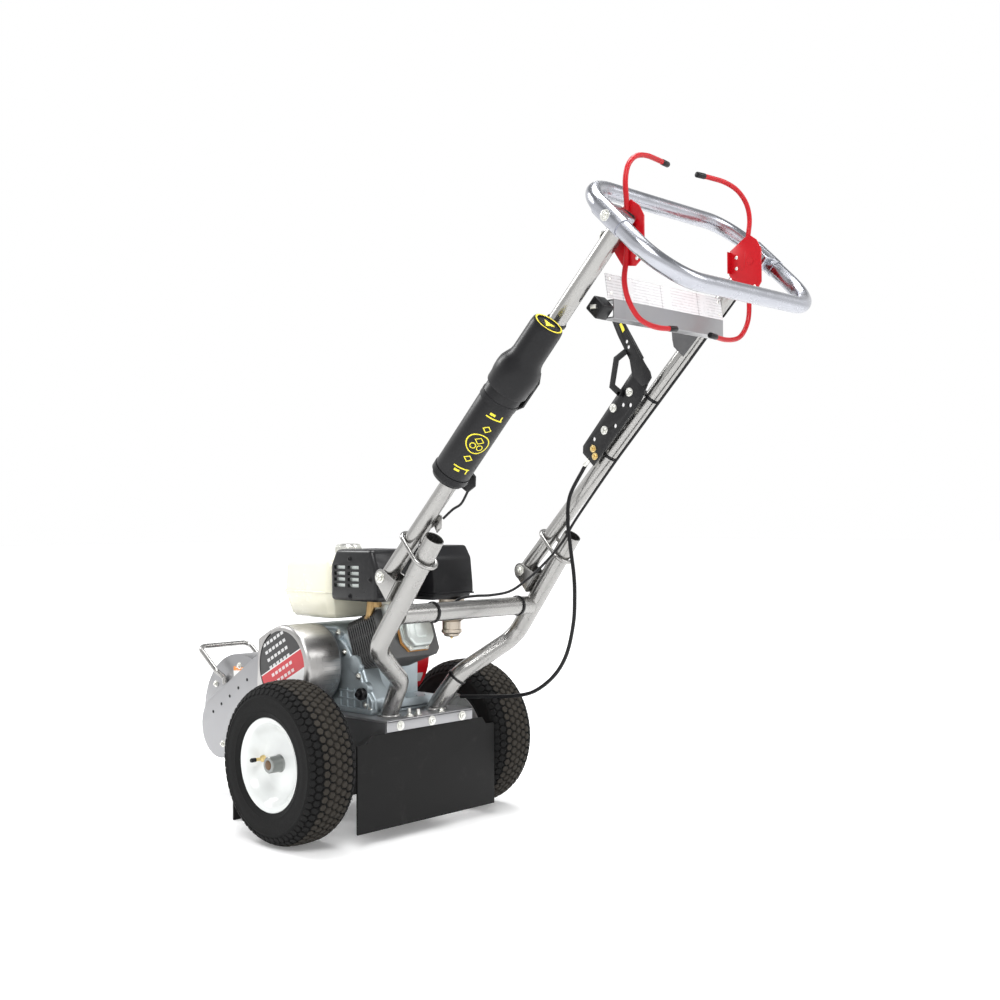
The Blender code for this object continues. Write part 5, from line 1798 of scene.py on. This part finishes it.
        done(hex_bolts(spots, 0.0042, 0.003, False), "carburettor_screws", "chassis", "gold_zinc", "zinc")
        plate = rod(
            foot + Vector((0.006, 0.027, 0.452)), foot + Vector((0.006, 0.032, 0.452)), 0.013, 0.001, 30
        )
        pin = rod(foot + Vector((0.006, 0.020, 0.452)), foot + Vector((0.006, 0.030, 0.452)), 0.004)
        done(join([plate, pin]), "choke_plate", "chassis", "soft_black", "black")

    def starter(self):
        low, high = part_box("fan_cover")
        centre = Vector((CRANK.x, low.y, CRANK.z))
        deep = high.y - low.y
        profile = (
            (0.0, 0.0),
            (0.0955, 0.0),
            (0.0960, 0.002),
            (0.0950, 0.008),
            (0.0925, deep * 0.50),
            (0.0905, deep * 0.72),
            (0.0820, deep * 0.86),
            (0.0740, deep * 0.93),
            (0.0560, deep * 0.96),
            (0.0360, deep),
            (0.0, deep),
        )
        drum = lathe(profile, centre, ACROSS, 72)
        louvres = []
        for i in range(20):
            turn = math.tau * i / 20
            spoke = AHEAD * math.cos(turn) + UP * math.sin(turn)
            pose = Matrix((spoke, ACROSS.cross(spoke), ACROSS)).transposed().to_4x4()
            spot = centre + spoke * 0.062 + ACROSS * deep * 0.95
            louvres.append(Matrix.Translation(spot) @ pose)
        pattern = block((-0.012, -0.0030, -0.010), (0.012, 0.0030, 0.010))
        cutters = spread(pattern, louvres)
        cover = cut(drum, cutters)
        done(cover, "recoil_cover", "chassis", "red", "red", "fan_cover")
        spots = []
        for turn in (35, 140, 215, 318):
            spoke = AHEAD * math.cos(math.radians(turn)) + UP * math.sin(math.radians(turn))
            spots.append((centre + spoke * 0.0935 + ACROSS * 0.010, spoke))
        done(hex_bolts(spots, 0.005, 0.0032), "recoil_bolts", "chassis", "zinc", "zinc")
        turn = math.radians(-28)
        spoke = AHEAD * math.cos(turn) + UP * math.sin(turn)
        down = AHEAD * math.sin(turn) - UP * math.cos(turn)
        patch = [(a, b) for a, b in oblong(-0.011, 0.012, 0.011, 0.034)]

        def lay(u, v, w):
            return centre + spoke * (0.0930 + w) + down * u + ACROSS * v

        done(slab(patch, lay, 0.0, 0.0022, 0.0004, 1), "maker_free_label", "chassis", "grey_label", "red")
        low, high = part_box("starter_grip")
        middle = (low + high) / 2
        grip = (
            (0.0, -0.036),
            (0.0070, -0.036),
            (0.0088, -0.033),
            (0.0090, -0.026),
            (0.0076, -0.016),
            (0.0072, 0.0),
            (0.0076, 0.016),
            (0.0090, 0.026),
            (0.0088, 0.033),
            (0.0070, 0.036),
            (0.0, 0.036),
        )
        done(lathe(grip, middle, AHEAD, 36), "pull_grip", "starter", "plastic", "black", "starter_grip")


class GRINDER_OT_drive(bpy.types.Operator):
    """Belt guard, cutter hood, toothed cutter wheel and the lift handle"""

    bl_idname = "grinder.drive"
    bl_label = "Drive and cutter"

    def execute(self, context):
        self.belt_guard()
        self.hood()
        self.cutter()
        self.lift_handle()
        return {"FINISHED"}

    def belt_guard(self):
        low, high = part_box("belt_guard")
        crank = CRANK.x - AXLE.x, CRANK.z
        cutter = CUTTER.x - AXLE.x, CUTTER.z
        thin, deep, back = -0.152, low.y, high.y
        wall = 0.003
        slope = Vector((crank[0] - cutter[0], crank[1] - cutter[1])).normalized()
        end = cutter[0] + slope.y * 0.013 - slope.x * 0.012, cutter[1] - slope.x * 0.013 - slope.y * 0.012
        outer = two_circle_outline(crank, 0.088, end, 0.072, 28)
        inner = two_circle_outline(crank, 0.088 - wall, end, 0.072 - wall, 28)
        shell = slab(outer, flat_xz, thin, back)
        hollow = slab(inner, flat_xz, thin + wall, back + 0.01)
        flat = soften(cut(shell, hollow), 0.004, 3, 40)
        tall = back - deep
        rim = (
            (0.0850, 0.004),
            (0.0880, 0.004),
            (0.0880, tall - 0.010),
            (0.0868, tall - 0.005),
            (0.0840, tall - 0.0018),
            (0.0800, tall),
            (0.0, tall),
            (0.0, tall - wall),
            (0.0790, tall - wall),
            (0.0830, tall - 0.0055),
            (0.0850, tall - 0.011),
        )
        drum = lathe(rim, Vector((CRANK.x, back, CRANK.z)), -ACROSS, 112)
        done(flat, "guard_pan", "chassis", "deck", "deck", "belt_guard")
        corner = self.corner(crank, cutter, thin, deep)
        done(join([drum, corner]), "guard_drum", "chassis", "drum", "deck")
        self.stickers(crank, cutter, deep)
        spots = []
        way = Vector((cutter[0] - crank[0], cutter[1] - crank[1])).normalized()
        normal = Vector((way.y, -way.x))
        if normal.y < 0:
            normal = -normal
        holes = []
        for along, over in ((-0.020, 0.026), (0.019, 0.030), (0.058, 0.034), (0.098, 0.038), (0.138, 0.042)):
            x = cutter[0] + slope.x * along + normal.x * over
            z = cutter[1] + slope.y * along + normal.y * over
            holes.append(rod(at(x, thin - 0.0004, z), at(x, thin + 0.003, z), 0.0036, 0.0002, 20))
        done(join(holes), "guard_holes", "chassis", "soft_black", "black")
        for x, z in ((cutter[0] + 0.060, cutter[1] - 0.030), (cutter[0] + 0.010, cutter[1] - 0.055)):
            spots.append((at(x, thin, z), -ACROSS))
        done(hex_bolts(spots, 0.0060, 0.0045), "guard_bolts", "chassis", "zinc", "zinc")

    def corner(self, crank, cutter, thin, deep):
        way = Vector((cutter[0] - crank[0], cutter[1] - crank[1])).normalized()
        under = Vector((-way.y, way.x))
        if under.y > 0:
            under = -under
        top = -under
        reach = (-0.197 - crank[0] - under.x * 0.088) / way.x
        foot = Vector(crank) + under * 0.088 + way * reach
        head = Vector(crank) + top * 0.088 + way * (reach * 0.35)
        crest = Vector(crank) + top * 0.088
        heel = Vector(crank) + under * 0.088
        outline = [tuple(crest), tuple(head), (foot.x, foot.y + 0.045), tuple(foot), tuple(heel)]
        piece = slab(outline, flat_xz, deep, thin + 0.001)
        return soften(piece, 0.005, 3, 25)

    def stickers(self, crank, cutter, deep):
        outline = [(crank[0] + u, crank[1] + v) for u, v in arc((0, 0), 0.0765, 0, 354, 59)]
        face = slab(outline, flat_xz, deep - 0.0004, deep + 0.0006)
        done(face, "guard_band_sticker", "chassis", "banded", "deck")
        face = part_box("cutter_guard")[0].y
        x, z = cutter[0] - 0.001, cutter[1] + 0.103
        card = oblong(x - 0.022, z - 0.012, x + 0.022, z + 0.012)
        done(
            slab(card, flat_xz, face - 0.0004, face + 0.0006),
            "hood_caution_card",
            "chassis",
            "caution",
            "deck",
        )

    def hood(self):
        low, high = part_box("cutter_guard")
        centre = CUTTER.x - AXLE.x, CUTTER.z
        radius, wall, foot = 0.145, 0.003, low.z
        drop = foot - centre[1]
        lean = math.degrees(math.asin(drop / radius))
        outline = arc(centre, radius, lean, 180 - lean, 56)
        lean_in = math.degrees(math.asin(drop / (radius - wall)))
        inside = arc(centre, radius - wall, lean_in, 180 - lean_in, 56)
        inside = [(inside[0][0], foot - 0.02), *inside, (inside[-1][0], foot - 0.02)]
        shell = slab(outline, flat_xz, low.y, high.y)
        hollow = slab(inside, flat_xz, low.y + wall, high.y - wall)
        hood = cut(shell, hollow)
        hood = soften(hood, 0.0012, 2, 40)
        done(hood, "cutter_hood", "chassis", "deck", "deck", "cutter_guard")
        spots = []
        for turn in (35, 90, 145):
            spoke = Vector((math.cos(math.radians(turn)), 0, math.sin(math.radians(turn))))
            spots.append((at(centre[0], 0, centre[1]) + spoke * 0.118 + ACROSS * low.y, -ACROSS))
            spots.append((at(centre[0], 0, centre[1]) + spoke * 0.118 + ACROSS * high.y, ACROSS))
        done(hex_bolts(spots, 0.006, 0.0042), "hood_bolts", "chassis", "zinc", "zinc")

    def cutter(self):
        low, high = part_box("cutter_wheel")
        middle = Vector((CUTTER.x, (low.y + high.y) / 2, CUTTER.z))
        half = 0.0052
        disc = (
            (0.0127, -0.009),
            (0.026, -0.009),
            (0.026, -half),
            (0.090, -half),
            (0.094, -half * 0.6),
            (0.094, half * 0.6),
            (0.090, half),
            (0.026, half),
            (0.026, 0.009),
            (0.0127, 0.009),
        )
        wheel = lathe(disc, middle, ACROSS, 72, True)
        holes = []
        for i in range(6):
            turn = math.tau * i / 6
            spot = middle + AHEAD * (0.060 * math.cos(turn)) + UP * (0.060 * math.sin(turn))
            holes.append(rod(spot - ACROSS * 0.02, spot + ACROSS * 0.02, 0.011, 0, 28))
        wheel = cut(wheel, *holes)
        tooth = block((0.084, -0.0048, -0.0110), (0.106, 0.0048, 0.0060), 0.0012, 2)
        tip = block((0.1010, -0.0066, 0.0030), (0.1128, 0.0066, 0.0090), 0.0010, 2)
        tooth = join([tooth, tip])
        places = []
        for i in range(12):
            pose = Matrix.Rotation(-math.tau * i / 12, 4, "Y")
            lean = Matrix.Translation(ACROSS * (0.0022 * (1, -1)[i % 2]))
            places.append(Matrix.Translation(middle) @ pose @ lean)
        teeth = spread(tooth, places)
        done(join([wheel, teeth]), "toothed_wheel", "cutter", "cutter_steel", "steel", "cutter_wheel")

    def lift_handle(self):
        points = (
            (-0.444, -0.1064, 0.268),
            (-0.448, -0.1064, 0.284),
            (-0.456, -0.122, 0.300),
            (-0.530, -0.122, 0.352),
            (-0.530, 0.020, 0.352),
            (-0.456, 0.020, 0.300),
            (-0.448, -0.0136, 0.284),
            (-0.444, -0.0136, 0.268),
        )
        radii = (0, 0.008, 0.010, 0.018, 0.018, 0.010, 0.008, 0)
        path = rounded([at(*point) for point in points], radii, 8)
        bar = pipe(path, 0.0060, 20)
        done(join([bar]), "lift_bar", "chassis", "tube", "tube", "lift_handle")


BRAKE_CABLE = (
    on_handle(0.3045, 0.016, 0.168),
    on_handle(0.280, 0.013, 0.167),
    at(0.402, 0.155, 0.700),
    at(0.400, 0.150, 0.650),
    at(0.406, 0.150, 0.598),
    at(0.415, 0.150, 0.540),
    at(0.417, 0.150, 0.494),
    at(0.413, 0.150, 0.440),
    at(0.394, 0.150, 0.376),
    at(0.359, 0.150, 0.329),
    at(0.306, 0.148, 0.293),
    at(0.251, 0.144, 0.279),
    at(0.190, 0.136, 0.273),
    at(0.150, 0.126, 0.270),
    at(0.118, 0.118, 0.268),
)
THROTTLE_CABLE = (
    on_handle(0.690, -0.024, 0.187),
    on_handle(0.560, -0.025, 0.187),
    on_handle(0.420, -0.025, 0.187),
    on_handle(0.320, -0.027, 0.185),
    at(0.405, 0.170, 0.652),
    at(0.375, 0.163, 0.606),
    at(0.335, 0.150, 0.560),
    at(0.300, 0.130, 0.524),
    at(0.2825, 0.100, 0.503),
    at(0.268, 0.060, 0.4965),
    at(0.262, 0.020, 0.4965),
    at(0.2495, -0.012, 0.4920),
    at(0.227, -0.020, 0.474),
    at(0.205, -0.004, 0.464),
    at(0.196, 0.020, 0.462),
)


class GRINDER_OT_cables(bpy.types.Operator):
    """The two control cables between the handle and the engine"""

    bl_idname = "grinder.cables"
    bl_label = "Cables"

    def execute(self, context):
        for name, route, radius in (("brake", BRAKE_CABLE, 0.0040), ("throttle", THROTTLE_CABLE, 0.0028)):
            cable = pipe(smooth_route(route, 0.008), radius, 12)
            cable = done(cable, f"{name}_line", None, "cable", "cable", f"{name}_cable")
            at(0.41, 0.15, 0.45)
            at(0.41, 0.15, 0.70)
            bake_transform(cable)
        start = on_handle(0.3045, 0.016, 0.168)
        ferrule = rod(start - ALONG * 0.016, start + ALONG * 0.002, 0.0046, 0.0008, 20)
        done(ferrule, "brake_ferrule", "handle", "zinc", "zinc")
        return {"FINISHED"}


KEPT = {
    "crankshaft": "zinc",
    "clutch_drum": "cutter_steel",
    "driven_pulley": "cutter_steel",
    "cutter_shaft": "zinc",
    "cutter_bearing": "cast",
    "drive_belt": "cable",
}


class GRINDER_OT_inner_parts(bpy.types.Operator):
    """Finishes for the parts of the frame that show as they are"""

    bl_idname = "grinder.inner_parts"
    bl_label = "Inner parts"

    def execute(self, context):
        for node, piece in frame["nodes"].items():
            if piece.hide_render:
                continue
            finish = next((look for start, look in KEPT.items() if node.startswith(start)), "black_metal")
            if not piece.material_slots:
                piece.data.materials.append(LOOKS[finish])
            for slot in piece.material_slots:
                slot.material = LOOKS[finish]
        return {"FINISHED"}


class GRINDER_OT_stage(bpy.types.Operator):
    """A pale floor, soft lights, a bright sky and the camera"""

    bl_idname = "grinder.stage"
    bl_label = "Stage"

    def execute(self, context):
        fresh()
        bpy.ops.mesh.primitive_plane_add(size=60)
        floor = bpy.context.object
        floor.name = "studio_floor"
        floor.data.materials.append(self.floor_finish())
        world = bpy.data.worlds.new("studio_sky")
        context.scene.world = world
        world.use_nodes = True
        world.node_tree.nodes["Background"].inputs[0].default_value = (1.0, 1.0, 1.0, 1)
        world.node_tree.nodes["Background"].inputs[1].default_value = 1.0
        context.scene.view_settings.view_transform = "Standard"
        self.sky(world.node_tree)
        centre = Vector((0, 0, 0.6))
        for name, place, size, power in (
            ("key", (2.6, -2.6, 4.2), 2.0, 150),
            ("fill", (3.6, 2.4, 3.2), 1.6, 50),
            ("rim", (-3.4, -1.2, 3.6), 1.6, 90),
            ("over", (0.0, 0.6, 4.6), 2.4, 150),
        ):
            fresh()
            bpy.ops.object.light_add(type="AREA", location=place)
            lamp = bpy.context.object
            lamp.name = name
            lamp.data.size = size
            lamp.data.energy = power
            lamp.rotation_euler = (centre - lamp.location).to_track_quat("-Z", "Y").to_euler()
        self.camera(context)
        return {"FINISHED"}

    def floor_finish(self):
        finish = Finish("studio_floor")
        x, y, z = finish.split()
        # Painted light: the floor glows, faintly near the machine and brighter from 1.6 m out to 4.6 m,
        # standing in for lamp light on the far floor; the glow also lightens the shadows near the machine.
        fade_from, fade_over = 1.6, 3.0
        away = (((x * x + y * y).math("SQRT") - fade_from) / fade_over).clamp()
        finish.feed(
            finish.shader.inputs["Emission Color"],
            finish.mix(away, (0.16, 0.16, 0.16, 1), (0.66, 0.66, 0.66, 1)),
        )
        finish.shader.inputs["Emission Strength"].default_value = 1.0
        cloud = finish.noise(1.2, 3.0)
        tone = finish.mix(cloud, (0.90, 0.90, 0.90, 1), (0.94, 0.94, 0.94, 1))
        return finish.end(tone, (cloud * 0.1 + 0.75).clamp(), finish.noise(200.0, 2.0), 0.02)

    def sky(self, tree):
        """White round the horizon and grey overhead, so that bright metal has something dark to show."""
        where = tree.nodes.new("ShaderNodeTexCoord")
        parts = tree.nodes.new("ShaderNodeSeparateXYZ")
        rise = tree.nodes.new("ShaderNodeMapRange")
        tone = tree.nodes.new("ShaderNodeMix")
        tone.data_type = "RGBA"
        for key, value in (("From Min", 0.40), ("From Max", 0.62)):
            rise.inputs[key].default_value = value
        tone.inputs[6].default_value = (1.0, 1.0, 1.0, 1)
        tone.inputs[7].default_value = (0.34, 0.345, 0.35, 1)
        tree.links.new(where.outputs["Generated"], parts.inputs[0])
        tree.links.new(parts.outputs["Z"], rise.inputs["Value"])
        tree.links.new(rise.outputs["Result"], tone.inputs[0])
        tree.links.new(tone.outputs[2], tree.nodes["Background"].inputs[0])

    def camera(self, context):
        around, lift, tilt = math.radians(43.62), math.radians(-0.90), math.radians(-0.338)
        back = Vector((math.sin(around) * math.cos(lift), -math.cos(around) * math.cos(lift), math.sin(lift)))
        right = UP.cross(back).normalized()
        upward = back.cross(right)
        right, upward = (
            right * math.cos(tilt) + upward * math.sin(tilt),
            upward * math.cos(tilt) - right * math.sin(tilt),
        )
        fresh()
        bpy.ops.object.camera_add()
        camera = bpy.context.object
        camera.name = "camera"
        camera.data.lens = 44.88
        camera.data.sensor_width = 36
        turn = Matrix((right, upward, back)).transposed().to_4x4()
        camera.matrix_world = Matrix.Translation((2.056 - 0.2022, -1.788, 0.652)) @ turn
        context.scene.camera = camera


class GRINDER_PT_panel(bpy.types.Panel):
    """Lists the steps that build the machine"""

    bl_idname = "GRINDER_PT_panel"
    bl_label = "Stump grinder"
    bl_space_type = "VIEW_3D"
    bl_region_type = "UI"
    bl_category = "Stump grinder"

    def draw(self, context):
        scene = context.scene
        for group in (scene.grinder_sizes, scene.grinder_colours):
            for name in group.__annotations__:
                self.layout.prop(group, name)
        for step in STEPS:
            self.layout.operator(step.bl_idname)


STEPS = (
    GRINDER_OT_finishes,
    GRINDER_OT_wheels,
    GRINDER_OT_deck,
    GRINDER_OT_frame,
    GRINDER_OT_handle,
    GRINDER_OT_document_tube,
    GRINDER_OT_lock_rings,
    GRINDER_OT_levers,
    GRINDER_OT_engine,
    GRINDER_OT_drive,
    GRINDER_OT_cables,
    GRINDER_OT_inner_parts,
    GRINDER_OT_stage,
)
CLASSES = (GrinderSizes, GrinderColours, *STEPS, GRINDER_PT_panel)


def register():
    for kind in CLASSES:
        bpy.utils.register_class(kind)
    bpy.types.Scene.grinder_sizes = PointerProperty(type=GrinderSizes)
    bpy.types.Scene.grinder_colours = PointerProperty(type=GrinderColours)


def unregister():
    del bpy.types.Scene.grinder_colours
    del bpy.types.Scene.grinder_sizes
    for kind in reversed(CLASSES):
        bpy.utils.unregister_class(kind)


def main():
    register()
    for step in STEPS:
        group, name = step.bl_idname.split(".")
        result = getattr(getattr(bpy.ops, group), name)()
        if result != {"FINISHED"}:
            raise RuntimeError(f"{step.bl_label} didn't finish")


if __name__ == "__main__":
    main()
